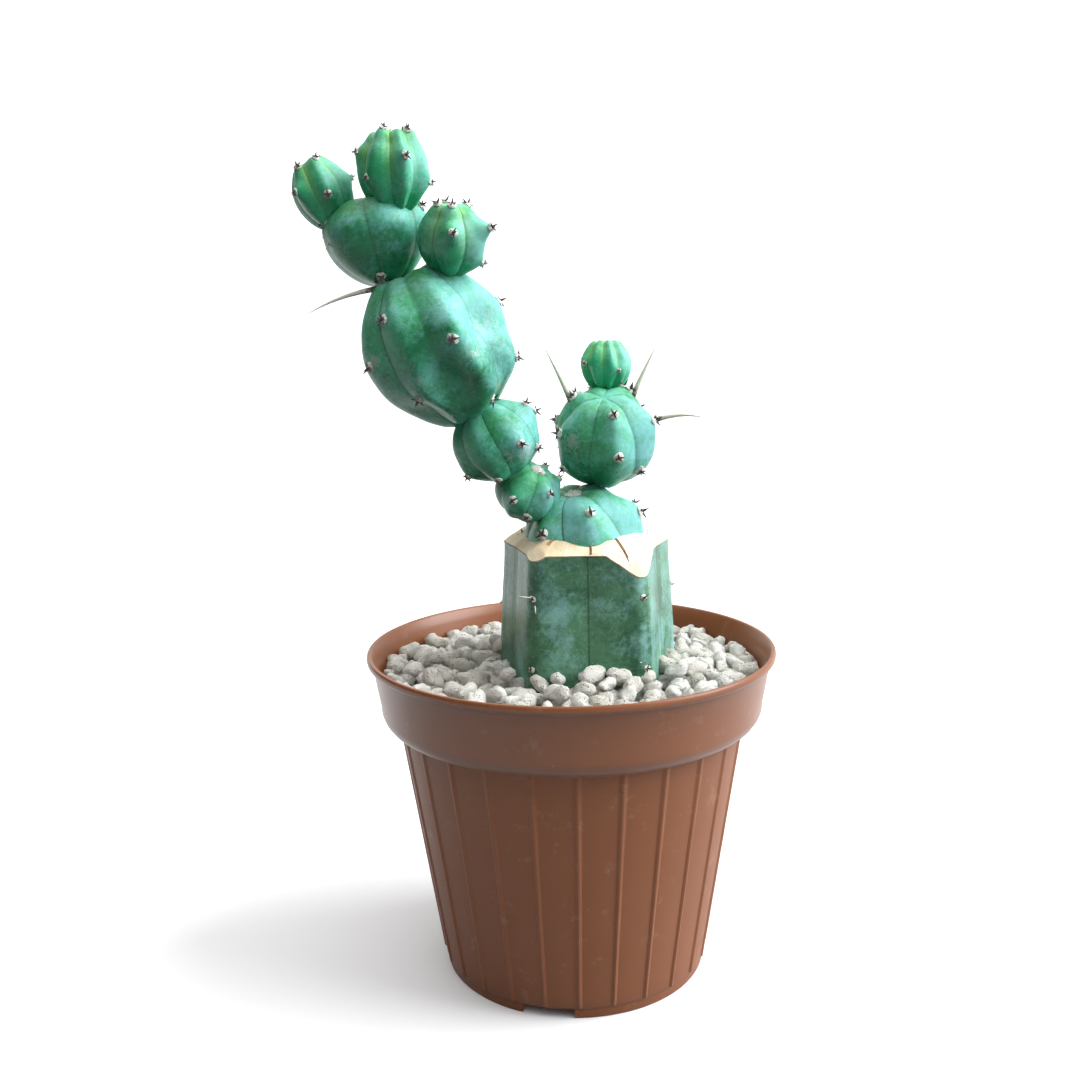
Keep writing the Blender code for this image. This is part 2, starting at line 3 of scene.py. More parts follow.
import logging
import math
import random
from collections.abc import Callable, Iterable
from dataclasses import dataclass, field
from enum import Enum

import bmesh
import bpy
from mathutils import Matrix, Vector


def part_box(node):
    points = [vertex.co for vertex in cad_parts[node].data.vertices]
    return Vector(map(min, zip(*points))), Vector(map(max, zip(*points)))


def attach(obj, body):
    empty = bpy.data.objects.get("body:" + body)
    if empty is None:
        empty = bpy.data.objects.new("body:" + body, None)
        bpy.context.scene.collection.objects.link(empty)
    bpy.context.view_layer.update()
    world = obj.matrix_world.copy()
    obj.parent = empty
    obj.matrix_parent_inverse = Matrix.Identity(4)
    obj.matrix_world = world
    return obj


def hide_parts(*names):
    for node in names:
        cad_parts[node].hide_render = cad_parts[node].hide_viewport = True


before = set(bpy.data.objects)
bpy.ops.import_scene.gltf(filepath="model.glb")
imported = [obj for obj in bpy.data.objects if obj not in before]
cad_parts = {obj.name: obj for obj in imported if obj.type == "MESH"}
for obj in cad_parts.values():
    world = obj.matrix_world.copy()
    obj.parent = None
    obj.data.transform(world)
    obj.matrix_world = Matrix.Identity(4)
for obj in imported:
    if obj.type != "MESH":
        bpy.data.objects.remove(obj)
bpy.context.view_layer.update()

MM = 0.001
log = logging.getLogger("potted_cactus")


# ------------------------------------------------------------------ hands
def let_go() -> None:
    """Deselects every object, because an operator acts on all that is selected."""
    bpy.ops.object.select_all(action="DESELECT")


def hold(piece: bpy.types.Object) -> bpy.types.Object:
    """Selects one object alone and makes it active.

    Args:
        piece: The object to work on.

    Returns:
        The same object.
    """
    let_go()
    piece.select_set(True)
    bpy.context.view_layer.objects.active = piece
    return piece


class Bench:
    """One mesh object held in edit mode, with nothing selected at the start."""

    def __init__(self, piece: bpy.types.Object) -> None:
        """Names the object to hold."""
        self.piece = piece

    def __enter__(self) -> "Bench":
        """Enters edit mode with nothing selected."""
        hold(self.piece)
        bpy.ops.object.mode_set(mode="EDIT")
        bpy.ops.mesh.select_mode(type="VERT")
        bpy.ops.mesh.select_all(action="DESELECT")
        return self

    def __exit__(self, *_: object) -> None:
        """Leaves edit mode."""
        bpy.ops.object.mode_set(mode="OBJECT")

    def pick(self, test: Callable, kind: str = "verts") -> int:
        """Selects the vertices, edges or faces that pass a test, and nothing else.

        Args:
            test: Takes one bmesh element and says whether it is wanted.
            kind: "verts", "edges" or "faces".

        Returns:
            How many were selected.
        """
        bpy.ops.mesh.select_mode(type={"verts": "VERT", "edges": "EDGE", "faces": "FACE"}[kind])
        bpy.ops.mesh.select_all(action="DESELECT")
        mesh = bmesh.from_edit_mesh(self.piece.data)
        chosen = [part for part in getattr(mesh, kind) if test(part)]
        for part in chosen:
            part.select_set(True)
        if kind == "verts":
            mesh.select_flush(True)
        bmesh.update_edit_mesh(self.piece.data)
        return len(chosen)

    def scale(self, x: float, y: float, z: float,
              about: tuple[float, float, float] = (0.0, 0.0, 0.0)) -> None:
        """Scales what is selected about a point."""
        bpy.ops.transform.resize(value=(x, y, z), center_override=about)

    def everything(self) -> None:
        """Selects the whole mesh."""
        bpy.ops.mesh.select_all(action="SELECT")

    def draw_out(self, offset: Iterable[float]) -> None:
        """Extrudes the selected edges by an offset."""
        bpy.ops.mesh.extrude_edges_move(TRANSFORM_OT_translate={"value": offset})

    def close(self) -> None:
        """Caps the open end and turns every face outwards."""
        bpy.ops.mesh.edge_face_add()
        self.everything()
        bpy.ops.mesh.normals_make_consistent(inside=False)

    def shift(self, offset: Vector, reach: float = 0.0) -> None:
        """Moves what is selected, and within reach draws its surroundings along.

        Args:
            offset: The move, in metres.
            reach: How far the move fades out, or 0 to move the selection alone.
        """
        bpy.ops.transform.translate(
            value=offset, use_proportional_edit=reach > 0.0,
            proportional_edit_falloff="SMOOTH", proportional_size=max(reach, 1e-6))


def finish_with(piece: bpy.types.Object, kind: str, **settings: object) -> None:
    """Adds one modifier to a piece and applies it.

    Args:
        piece: The mesh object.
        kind: The modifier's type.
        **settings: Its settings by name.
    """
    hold(piece)
    modifier = piece.modifiers.new(kind.lower(), kind)
    for name, value in settings.items():
        setattr(modifier, name, value)
    bpy.ops.object.modifier_apply(modifier=modifier.name)


def set_down(piece: bpy.types.Object, place: Matrix) -> None:
    """Moves a finished piece to its place and puts that place in its mesh."""
    piece.matrix_world = place
    hold(piece)
    bpy.ops.object.transform_apply(location=True, rotation=True, scale=True)


def smooth(piece: bpy.types.Object, degrees: float = 40.0) -> None:
    """Shades a piece smooth, with edges over an angle kept sharp."""
    hold(piece)
    bpy.ops.object.shade_smooth_by_angle(angle=math.radians(degrees))


def copy_of(model: bpy.types.Object, place: Matrix) -> bpy.types.Object:
    """A copy of a modelled shape with its own mesh, with its place in the mesh.

    Args:
        model: The shape that repeats.
        place: Where the copy goes.

    Returns:
        The new object, at the origin.
    """
    mesh = model.data.copy()
    mesh.transform(place)
    made = bpy.data.objects.new(model.name, mesh)
    bpy.context.scene.collection.objects.link(made)
    return made


def join(pieces: list[bpy.types.Object], name: str) -> bpy.types.Object:
    """Joins several objects into one piece.

    Args:
        pieces: The objects, the first of which stays.
        name: The joined piece's name.

    Returns:
        The joined object.
    """
    let_go()
    for piece in pieces:
        piece.select_set(True)
    bpy.context.view_layer.objects.active = pieces[0]
    bpy.ops.object.join()
    pieces[0].name = name
    return pieces[0]


def discard(pieces: Iterable[bpy.types.Object]) -> None:
    """Removes models that were only copied from."""
    for piece in pieces:
        bpy.data.objects.remove(piece)


def cloud(name: str, size: float, depth: int = 2) -> bpy.types.Texture:
    """A soft cloud pattern for displacing a surface.

    Args:
        name: The pattern's name.
        size: The width of one lump, in metres.
        depth: How many finer layers it has.

    Returns:
        The texture.
    """
    texture = bpy.data.textures.new(name, "CLOUDS")
    texture.noise_scale = size
    texture.noise_depth = depth
    return texture


def spoke(turn: float) -> Vector:
    """The level direction at an angle in degrees from the front, to the right."""
    return Vector((math.sin(math.radians(turn)), -math.cos(math.radians(turn)), 0.0))


def turn_of(point: Vector) -> float:
    """The angle in degrees of a point from the front, to the right: spoke's inverse."""
    return math.degrees(math.atan2(point.x, -point.y))


def towards(axis: tuple[float, float, float]) -> Matrix:
    """The smallest turn that takes the vertical to an axis."""
    turn = Vector((0.0, 0.0, 1.0)).rotation_difference(Vector(axis).normalized())
    return turn.to_matrix().to_4x4()


def corners(node: str) -> tuple[Vector, Vector]:
    """The low and high corners of a frame node's box."""
    low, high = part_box(node)
    return Vector(low), Vector(high)


def middle(node: str) -> Vector:
    """The centre of a frame node's box."""
    low, high = corners(node)
    return (low + high) / 2


# ------------------------------------------------------------------ finishes
def linear(colour: str) -> tuple[float, float, float, float]:
    """Turns an sRGB hex value to linear light.

    Args:
        colour: Six hex digits.

    Returns:
        Red, green, blue and an alpha of 1.
    """
    parts = [int(colour[index:index + 2], 16) / 255.0 for index in (0, 2, 4)]
    return (*[c / 12.92 if c <= 0.04045 else ((c + 0.055) / 1.055) ** 2.4 for c in parts], 1.0)


def per_metre(size_mm: float) -> float:
    """The scale of a pattern whose features are a size in millimetres."""
    return 1000.0 / size_mm


def feed(tree: bpy.types.NodeTree, node: bpy.types.Node, inputs: dict) -> None:
    """Sets or links a node's inputs.

    Args:
        tree: The node tree.
        node: The node.
        inputs: Values or output sockets by the input's name or number.
    """
    for name, value in inputs.items():
        if isinstance(value, bpy.types.NodeSocket):
            tree.links.new(value, node.inputs[name])
        else:
            node.inputs[name].default_value = value


def add_node(tree: bpy.types.NodeTree, kind: str, inputs: dict | None = None,
             **settings: object) -> bpy.types.Node:
    """Adds one node with its settings, values and links.

    Args:
        tree: The node tree.
        kind: The node's type, without its ShaderNode prefix.
        inputs: Values or output sockets by the input's name or number.
        **settings: The node's own settings.

    Returns:
        The node.
    """
    made = tree.nodes.new("ShaderNode" + kind)
    for name, value in settings.items():
        setattr(made, name, value)
    feed(tree, made, inputs or {})
    return made


Value = float | bpy.types.NodeSocket


class Wiring:
    """A node tree with its coordinates, and the few kinds of node that repeat in it."""

    def __init__(self, tree: bpy.types.NodeTree, space: str = "Object") -> None:
        """Takes hold of the tree and of one set of coordinates."""
        self.tree = tree
        self.place = add_node(tree, "TexCoord").outputs[space]

    def noise(self, size_mm: float, detail: float = 2.0,
              roughness: float = 0.5) -> bpy.types.NodeSocket:
        """Soft noise with features of a size in millimetres."""
        return add_node(self.tree, "TexNoise", {
            "Vector": self.place, "Scale": per_metre(size_mm), "Detail": detail,
            "Roughness": roughness}).outputs["Fac"]

    def cells(self, size_mm: float) -> bpy.types.NodeSocket:
        """The distance from the middles of cells of a size in millimetres."""
        return add_node(self.tree, "TexVoronoi", {
            "Vector": self.place, "Scale": per_metre(size_mm)}).outputs["Distance"]

    def remap(self, value: Value, low: float, high: float, start: float = 0.0,
              end: float = 1.0) -> bpy.types.NodeSocket:
        """Turns what lies between low and high to start to end, and goes no further."""
        return add_node(self.tree, "MapRange", {
            0: value, 1: low, 2: high, 3: start, 4: end}).outputs[0]

    def reckon(self, operation: str, *values: Value) -> bpy.types.NodeSocket:
        """One sum on its values, in the order that the operation takes them."""
        return add_node(self.tree, "Math", dict(enumerate(values)),
                        operation=operation).outputs[0]

    def blend(self, factor: Value, first: str | bpy.types.NodeSocket,
              second: str | bpy.types.NodeSocket) -> bpy.types.NodeSocket:
        """Mixes two colours, each a hex value or a socket."""
        one, other = (linear(c) if isinstance(c, str) else c for c in (first, second))
        return add_node(self.tree, "Mix", {"Factor": factor, 6: one, 7: other},
                        data_type="RGBA").outputs[2]


class Paint(Wiring):
    """A new material, built up node by node and then handed over."""

    def __init__(self, name: str) -> None:
        """Starts the material and takes hold of its shader."""
        self.material = bpy.data.materials.new(name)
        self.material.use_nodes = True
        super().__init__(self.material.node_tree)
        self.shader = self.tree.nodes["Principled BSDF"]

    def read(self, name: str) -> bpy.types.NodeSocket:
        """What mark wrote on the piece under a name."""
        return add_node(self.tree, "Attribute", attribute_name=name).outputs["Fac"]

    def bump(self, strength: float, distance: float, height: bpy.types.NodeSocket) -> None:
        """Gives the surface a fine relief, up to a distance in metres."""
        made = add_node(self.tree, "Bump", {"Strength": strength, "Distance": distance,
                                            "Height": height})
        feed(self.tree, self.shader, {"Normal": made.outputs[0]})

    def dress(self, inputs: dict) -> bpy.types.Material:
        """Sets or links the shader's inputs by name, and hands the material over."""
        feed(self.tree, self.shader, inputs)
        return self.material


@dataclass(frozen=True)
class Finish:
    """A surface finish, with the name that its material gets."""

    name: str


@dataclass(frozen=True)
class CactusSkin(Finish):
    """Waxy cactus skin: blue-green flesh under a patchy pale coat that is partly real and partly a
    painted highlight, with corky scars and painted shade in its furrows.
    """

    deep: str = "137a4e"
    flesh: str = "46b18a"
    # The pale coat's colour, also used for the painted highlight.
    bloom_and_highlight: str = "93dade"
    young: str = "5cb466"
    cork: str = "d6dcd8"
    # Painted shade at the bottom of the furrows.
    furrow_shade: str = "0c3a20"
    speck: str = "cfe9dc"
    down: str = "c4f2f4"
    valley: str = "2f8050"
    valley_share: float = 0.25
    bloom_and_highlight_share: float = 0.50
    sheen: float = 0.10

    def make(self) -> bpy.types.Material:
        """Builds the material. Four attributes lie on the skin: the furrows, the rise, the scars,
        and the pale coat with its painted highlight.
        """
        paint = Paint(self.name)
        furrow, rise, scar, bloom_and_highlight_marks = (
            paint.read(name) for name in ("furrow", "rise", "scar", "wax"))
        # Flesh tone shifts over a centimetre or so, and is fibrous at a millimetre.
        broad = paint.noise(14.0, 4.0, 0.6)
        fibre = paint.noise(1.3, 6.0, 0.75)
        tone = paint.remap(paint.reckon("MULTIPLY_ADD", fibre, 0.40, broad), 0.60, 0.80)
        flesh = paint.blend(tone, self.deep, self.flesh)
        # The growing end is younger and yellower, and most of all between its ribs.
        aged = paint.blend(paint.remap(rise, 0.0, 1.0, 0.0, 0.55), flesh, self.young)
        deep_in = paint.remap(furrow, 0.45, 0.92, 0.0, self.valley_share)
        groove = paint.reckon("MULTIPLY", deep_in, paint.remap(rise, -0.35, 0.65))
        grooved = paint.blend(groove, aged, self.valley)
        # Pale coat: rubbed off in soft patches and in grains, thick on the ribs. The skin's marks
        # add a painted highlight on the side the key light falls on, and make the tops paler.
        rubbed = paint.remap(paint.noise(10.0, 9.0, 0.7), 0.30, 0.70, 0.10, 0.90)
        crest = paint.reckon("MULTIPLY_ADD", furrow, -0.06, rubbed)
        grain = paint.reckon("MULTIPLY_ADD", fibre, 0.55, crest)
        laid = paint.reckon("MULTIPLY_ADD", bloom_and_highlight_marks, 0.42, grain)
        wax = paint.remap(laid, 0.80, 1.35, 0.0, self.bloom_and_highlight_share * 1.5)
        bloomed_and_lit = paint.blend(wax, grooved, self.bloom_and_highlight)
        # Stomata and dust: pale specks a few tenths of a millimetre across.
        dot = paint.remap(paint.cells(1.1), 0.17, 0.08, 0.0, 0.38)
        dotted = paint.blend(paint.reckon("MULTIPLY", dot, tone), bloomed_and_lit, self.speck)
        # The bottom of each furrow is a thin dark line: painted shade in the crease.
        line = paint.remap(furrow, 0.935, 0.99, 0.0, 0.72)
        furrow_shaded = paint.blend(line, dotted, self.furrow_shade)
        # Scars: corky plates with a curled pale outline, where the attribute allows them.
        wander = paint.noise(3.4, 4.0, 0.6)
        far = paint.reckon("ABSOLUTE", paint.reckon("SUBTRACT", wander, 0.50))
        curl = paint.remap(far, 0.010, 0.002, 0.0, 0.75)
        plate = paint.remap(paint.reckon("MULTIPLY", wander, scar), 0.50, 0.60, 0.0, 0.34)
        cork = paint.reckon("MAXIMUM", paint.reckon("MULTIPLY", curl, scar), plate)
        paint.bump(0.35, 0.25 * MM, paint.reckon("MULTIPLY_ADD", cork, 0.8, fibre))
        return paint.dress({
            "Base Color": paint.blend(cork, furrow_shaded, self.cork),
            "Roughness": paint.remap(wax, 0.0, 0.7, 0.34, 0.50),
            "IOR": 1.45, "Specular IOR Level": 0.32,
            "Subsurface Weight": 0.10, "Subsurface Radius": (0.5, 1.0, 0.4),
            "Subsurface Scale": 1.5 * MM,
            "Sheen Weight": self.sheen, "Sheen Roughness": 0.40,
            "Sheen Tint": linear(self.down)})


@dataclass(frozen=True)
class DriedCallus(Finish):
    """The dried face of the cut: cream tissue, tan in patches, with fine radial fibres."""

    cream: str = "f8ecd2"
    tan: str = "e8cda0"
    pale: str = "fdf8ec"
    centre: tuple[float, float, float] = (0.0, 0.0, 0.0)

    def make(self) -> bpy.types.Material:
        """Builds the material, with its fibres drawn round the column's centre."""
        paint = Paint(self.name)
        centred = add_node(paint.tree, "Mapping", {
            "Vector": paint.place, "Location": tuple(-c for c in self.centre)}).outputs[0]
        tone = paint.remap(paint.noise(7.0, 5.0, 0.65), 0.38, 0.64)
        base = paint.blend(tone, self.tan, self.cream)
        # Noise wound round the column: fibres that run straight out from its middle.
        x, y, z = add_node(paint.tree, "SeparateXYZ", {0: centred}).outputs
        wound = add_node(paint.tree, "CombineXYZ", {
            0: paint.reckon("ARCTAN2", x, y), 2: z}).outputs[0]
        fibres = add_node(paint.tree, "TexNoise", {
            "Vector": wound, "Scale": 60.0, "Detail": 4.0, "Roughness": 0.6}).outputs["Fac"]
        streak = paint.remap(fibres, 0.45, 0.70, 0.0, 0.35)
        paint.bump(0.45, 0.3 * MM, paint.noise(0.8, 6.0, 0.7))
        return paint.dress({
            "Base Color": paint.blend(streak, base, self.pale), "Roughness": 0.72,
            "Subsurface Weight": 0.08, "Subsurface Scale": MM})


@dataclass(frozen=True)
class Horn(Finish):
    """Horny spine: ringed and streaked along its growth, with its own two tones."""

    light: str = "e9e5d2"
    dark: str = "3b3026"
    dark_share: float = 0.26
    fade: float = 0.16  # from the dark to the light, as a share of the length
    roughness: float = 0.42

    def make(self) -> bpy.types.Material:
        """Builds the material. The attribute rise runs from foot to tip."""
        paint = Paint(self.name)
        rise = paint.read("rise")
        streaks = paint.noise(0.9, 4.0, 0.6)
        light = paint.remap(paint.reckon("MULTIPLY_ADD", streaks, 0.35, rise),
                            self.dark_share, self.dark_share + self.fade)
        paint.bump(0.25, 0.1 * MM, streaks)
        return paint.dress({"Base Color": paint.blend(light, self.dark, self.light),
                            "Roughness": self.roughness, "IOR": 1.55})


@dataclass(frozen=True)
class Wool(Finish):
    """Felted areole wool: short off-white hairs, greyer and browner deep in the pad."""

    light: str = "fbfaf4"
    dark: str = "b5ae9e"

    def make(self) -> bpy.types.Material:
        """Builds the material."""
        paint = Paint(self.name)
        # Real hairs are 0.02 mm thick: these tufts are drawn at 0.35 mm so that they show.
        tuft = paint.noise(0.35, 4.0, 0.7)
        paint.bump(0.8, 0.2 * MM, tuft)
        return paint.dress({
            "Base Color": paint.blend(paint.remap(tuft, 0.35, 0.58), self.dark, self.light),
            "Roughness": 0.95, "Sheen Weight": 0.35, "Sheen Roughness": 0.6})


@dataclass(frozen=True)
class Pumice(Finish):
    """Washed pumice: off-white volcanic froth, full of pores, each grain its own tone."""

    light: str = "fffdf6"
    grey: str = "e4dfd3"
    # Painted shade inside the pores.
    pore_shade: str = "857f72"

    def make(self) -> bpy.types.Material:
        """Builds the material. The attribute tone differs from stone to stone."""
        paint = Paint(self.name)
        tone = paint.read("tone")
        both = paint.reckon("MULTIPLY_ADD", paint.noise(2.5, 6.0, 0.7), 0.8, tone)
        body = paint.blend(paint.remap(both, 0.45, 1.25), self.grey, self.light)
        # Pores: pits of some 0.3 mm, gathered in patches 2 mm wide.
        pit = paint.remap(paint.cells(0.75), 0.36, 0.12)
        pits = paint.reckon("MULTIPLY", pit, paint.remap(paint.noise(2.0), 0.46, 0.60))
        grit = paint.noise(0.5, 5.0, 0.75)
        paint.bump(1.0, 1.1 * MM, paint.reckon("MULTIPLY_ADD", pits, -1.2, grit))
        # The pits are painted darker: painted shade inside the pores.
        shadow = paint.reckon("MULTIPLY", pits, 0.65)
        return paint.dress({"Base Color": paint.blend(shadow, body, self.pore_shade),
                            "Roughness": 0.95})


@dataclass(frozen=True)
class MouldedPot(Finish):
    """Brown polypropylene from a mould: satin on the band, matt on the ribbed body."""

    brown: str = "874f2d"
    worn: str = "905b3a"
    dust: str = "cdb9a4"
    band_foot: float = 81.2 * MM

    def make(self) -> bpy.types.Material:
        """Builds the material, whose mould texture starts under the band."""
        paint = Paint(self.name)
        height = add_node(paint.tree, "SeparateXYZ", {0: paint.place}).outputs[2]
        body = paint.remap(height, self.band_foot + 0.5 * MM, self.band_foot - 0.5 * MM)
        drift = paint.noise(35.0, 3.0)
        base = paint.blend(paint.remap(drift, 0.35, 0.70, 0.0, 0.35), self.brown, self.worn)
        # Dust and hard-water marks: sparse specks, and a thin film in patches.
        spot = paint.remap(paint.cells(5.0), 0.040, 0.022, 0.0, 0.30)
        film = paint.remap(paint.noise(9.0, 8.0, 0.75), 0.58, 0.80, 0.0, 0.30)
        dirt = paint.reckon("MAXIMUM", spot, film)
        # The mould is spark-eroded below the band: a grain of about 0.4 mm.
        eroded = paint.reckon("MULTIPLY", paint.noise(0.45, 3.0, 0.6), body)
        paint.bump(0.22, 0.18 * MM, paint.reckon("MULTIPLY_ADD", drift, 0.6, eroded))
        return paint.dress({
            "Base Color": paint.blend(dirt, base, self.dust),
            "Roughness": paint.remap(body, 0.0, 1.0, 0.34, 0.52),
            "IOR": 1.49, "Specular IOR Level": 0.46,
            "Subsurface Weight": 0.04, "Subsurface Scale": MM})


@dataclass(frozen=True)
class PottingMix(Finish):
    """Moist peat and bark: dark brown crumbs with a few paler fibres."""

    dark: str = "2b2019"
    light: str = "5a4634"

    def make(self) -> bpy.types.Material:
        """Builds the material."""
        paint = Paint(self.name)
        crumb = paint.cells(2.2)
        paint.bump(0.9, MM, crumb)
        return paint.dress({"Base Color": paint.blend(crumb, self.dark, self.light),
                            "Roughness": 0.95})


@dataclass(frozen=True)
class MattPaper(Finish):
    """The white matt paper that the pot stands on."""

    shade: str = "eeeeef"
    white: str = "f2f2f3"

    def make(self) -> bpy.types.Material:
        """Builds the material."""
        paint = Paint(self.name)
        return paint.dress({
            "Base Color": paint.blend(paint.noise(1.2), self.shade, self.white),
            "Roughness": 0.9, "Specular IOR Level": 0.1})


class Slot(Enum):
    """The record's material slots."""

    POT = "pot_plastic"
    PUMICE = "pumice"
    STOCK = "rootstock_skin"
    STEM = "stem_skin"
    BUD = "bud_skin"
    SPINE = "spine_horn"


def hand_over(piece: bpy.types.Object, finish: bpy.types.Material, slot: Slot,
              *nodes: str) -> bpy.types.Object:
    """Dresses a finished piece, lets it ride with the plant and says what it stands for.

    Args:
        piece: The finished piece.
        finish: Its material.
        slot: The record's slot for it; not used.
        *nodes: The frame nodes that it replaces.

    Returns:
        The piece.
    """
    piece.data.materials.clear()
    piece.data.materials.append(finish)
    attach(piece, "root")
    if nodes:
        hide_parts(*nodes)
    log.info("%s: %d faces, stands for %s", piece.name, len(piece.data.polygons),
             ", ".join(nodes) or "nothing in the frame")
    return piece


# ------------------------------------------------------------------ pot
@dataclass
class NurseryPot:
    """The injection-moulded pot: lip, plain band, ribbed body, notched foot ring."""

    ribs: int = 26
    rib_phase: float = 1.4
    columns: int = 24  # to each rib
    rib_proud: float = 0.5 * MM
    lip: float = 1.6 * MM
    wall: float = 1.3 * MM
    band_height: float = 15.8 * MM
    step_drop: float = 5.7 * MM
    band_foot_radius: float = 56.3 * MM
    body_top_radius: float = 50.8 * MM
    body_foot_radius: float = 39.8 * MM
    foot_height: float = 3.2 * MM
    foot_inset: float = 0.6 * MM
    foot_wall: float = 2.2 * MM
    floor: float = 1.6 * MM
    notches: int = 3
    notch_phase: float = -11.5
    notch_angle: float = 22.0
    drain_circle: float = 25.0 * MM
    drain_radius: float = 4.0 * MM
    drains: int = 4  # on the circle, and one more in the middle
    elsewhere: float = 99.0  # columns, for a vertex that is on no rib

    def __post_init__(self) -> None:
        """Takes the pot's place and overall size from the frame."""
        low, high = corners("pot")
        self.height = high.z - low.z
        self.rim = (high.x - low.x) / 2
        self.axis = Vector(((low.x + high.x) / 2, (low.y + high.y) / 2, low.z))
        self.band_foot = self.height - self.band_height
        self.step_foot = self.band_foot - self.step_drop

    def outside(self) -> list[tuple[float, float]]:
        """The section from the underside round the foot ring and up to the lip."""
        outer = self.body_foot_radius - self.foot_inset
        inner = outer - self.foot_wall
        section = [
            (inner, self.foot_height), (inner, 0.3 * MM), (inner + 0.2 * MM, 0.0),
            (outer - 0.2 * MM, 0.0), (outer, 0.3 * MM), (outer, self.foot_height - 0.5 * MM),
            (self.body_foot_radius - 0.1 * MM, self.foot_height),
            (self.body_foot_radius + 0.1 * MM, self.foot_height + 0.5 * MM),
        ]
        rise = self.step_foot - self.foot_height
        for share in (0.04, 0.30, 0.60, 0.90, 0.975, 0.992):
            radius = self.body_foot_radius + share * (self.body_top_radius - self.body_foot_radius)
            section.append((radius, self.foot_height + share * rise))
        reach = self.band_foot_radius - self.body_top_radius
        for degrees in (88, 75, 60, 45, 30, 15, 6):
            turn = math.radians(degrees)
            section.append((self.body_top_radius + reach * math.cos(turn),
                            self.step_foot + self.step_drop * (1.0 - math.sin(turn))))
        top = self.height
        section += [
            (self.band_foot_radius + 0.05 * MM, self.band_foot + 1.0 * MM),
            (self.band_foot_radius + 1.0 * MM, self.band_foot + 6.5 * MM),
            (self.rim - 1.75 * MM, top - 3.4 * MM),
            (self.rim - 1.45 * MM, top - 2.7 * MM),
            (self.rim - 0.55 * MM, top - 2.35 * MM),
            (self.rim - 0.15 * MM, top - 1.9 * MM),
            (self.rim, top - 1.2 * MM),
            (self.rim - 0.1 * MM, top - 0.55 * MM),
            (self.rim - 0.4 * MM, top - 0.12 * MM),
            (self.rim - 0.8 * MM, top),
        ]
        return section

    def inside(self) -> list[tuple[float, float]]:
        """The inner section from the lip down to the floor, as (radius, height)."""
        top = self.height
        reach = self.band_foot_radius - self.body_top_radius
        section = [
            (self.rim - 1.25 * MM, top - 0.12 * MM),
            (self.rim - self.lip, top - 0.5 * MM),
            (self.rim - self.lip - 0.9 * MM, top - 2.4 * MM),
            (self.rim - 1.75 * MM - self.wall, top - 3.6 * MM),
            (self.band_foot_radius - self.wall, self.band_foot),
        ]
        for degrees in (20, 45, 70, 88):
            turn = math.radians(degrees)
            section.append((self.body_top_radius + reach * math.cos(turn) - self.wall,
                            self.step_foot + self.step_drop * (1.0 - math.sin(turn))
                            + self.wall * math.sin(turn)))
        foot = self.foot_height + self.floor
        section += [(self.body_foot_radius - self.wall + 0.9 * MM, foot + 1.2 * MM),
                    (self.body_foot_radius - self.wall - 0.6 * MM, foot)]
        return section

    def draw_shell(self) -> bpy.types.Object:
        """Draws the shell ring by ring: a circle is extruded and scaled along the section.

        Returns:
            The closed shell, centred on the vertical axis.
        """
        rings = self.outside() + self.inside()
        radius, height = rings[0]
        bpy.ops.mesh.primitive_circle_add(
            vertices=self.ribs * self.columns, radius=radius, fill_type="NGON",
            location=(0.0, 0.0, height), rotation=(0.0, 0.0, math.radians(self.rib_phase)))
        shell = bpy.context.object
        set_down(shell, shell.matrix_world.copy())
        with Bench(shell) as bench:
            bench.pick(lambda edge: True, "edges")
            for next_radius, next_height in rings[1:]:
                bench.draw_out((0.0, 0.0, next_height - height))
                bench.scale(next_radius / radius, next_radius / radius, 1.0)
                radius, height = next_radius, next_height
            bench.close()
        return shell

    def raise_ribs(self, shell: bpy.types.Object) -> None:
        """Pushes the ribs out of the body: each is a half-round bar down the wall."""
        pitch = 360.0 / self.ribs
        low, high = self.foot_height + 0.3 * MM, self.step_foot - 0.02 * MM
        slope = (self.body_top_radius - self.body_foot_radius) / (
            self.step_foot - self.foot_height)

        def from_rib(vertex: bmesh.types.BMVert) -> float:
            """Columns between a vertex of the outer wall and the nearest rib's middle."""
            if not low < vertex.co.z < high:
                return self.elsewhere
            radius = vertex.co.xy.length
            wall = self.body_foot_radius + slope * (vertex.co.z - self.foot_height)
            if abs(radius - wall) > 0.8 * MM:
                return self.elsewhere
            turn = turn_of(vertex.co) - self.rib_phase
            away = abs((turn + pitch / 2) % pitch - pitch / 2)
            return away / pitch * self.columns

        with Bench(shell) as bench:
            for columns, share in ((1.5, 0.70), (0.5, 0.30)):
                bench.pick(lambda v, most=columns: from_rib(v) < most)
                bpy.ops.transform.shrink_fatten(value=self.rib_proud * share)

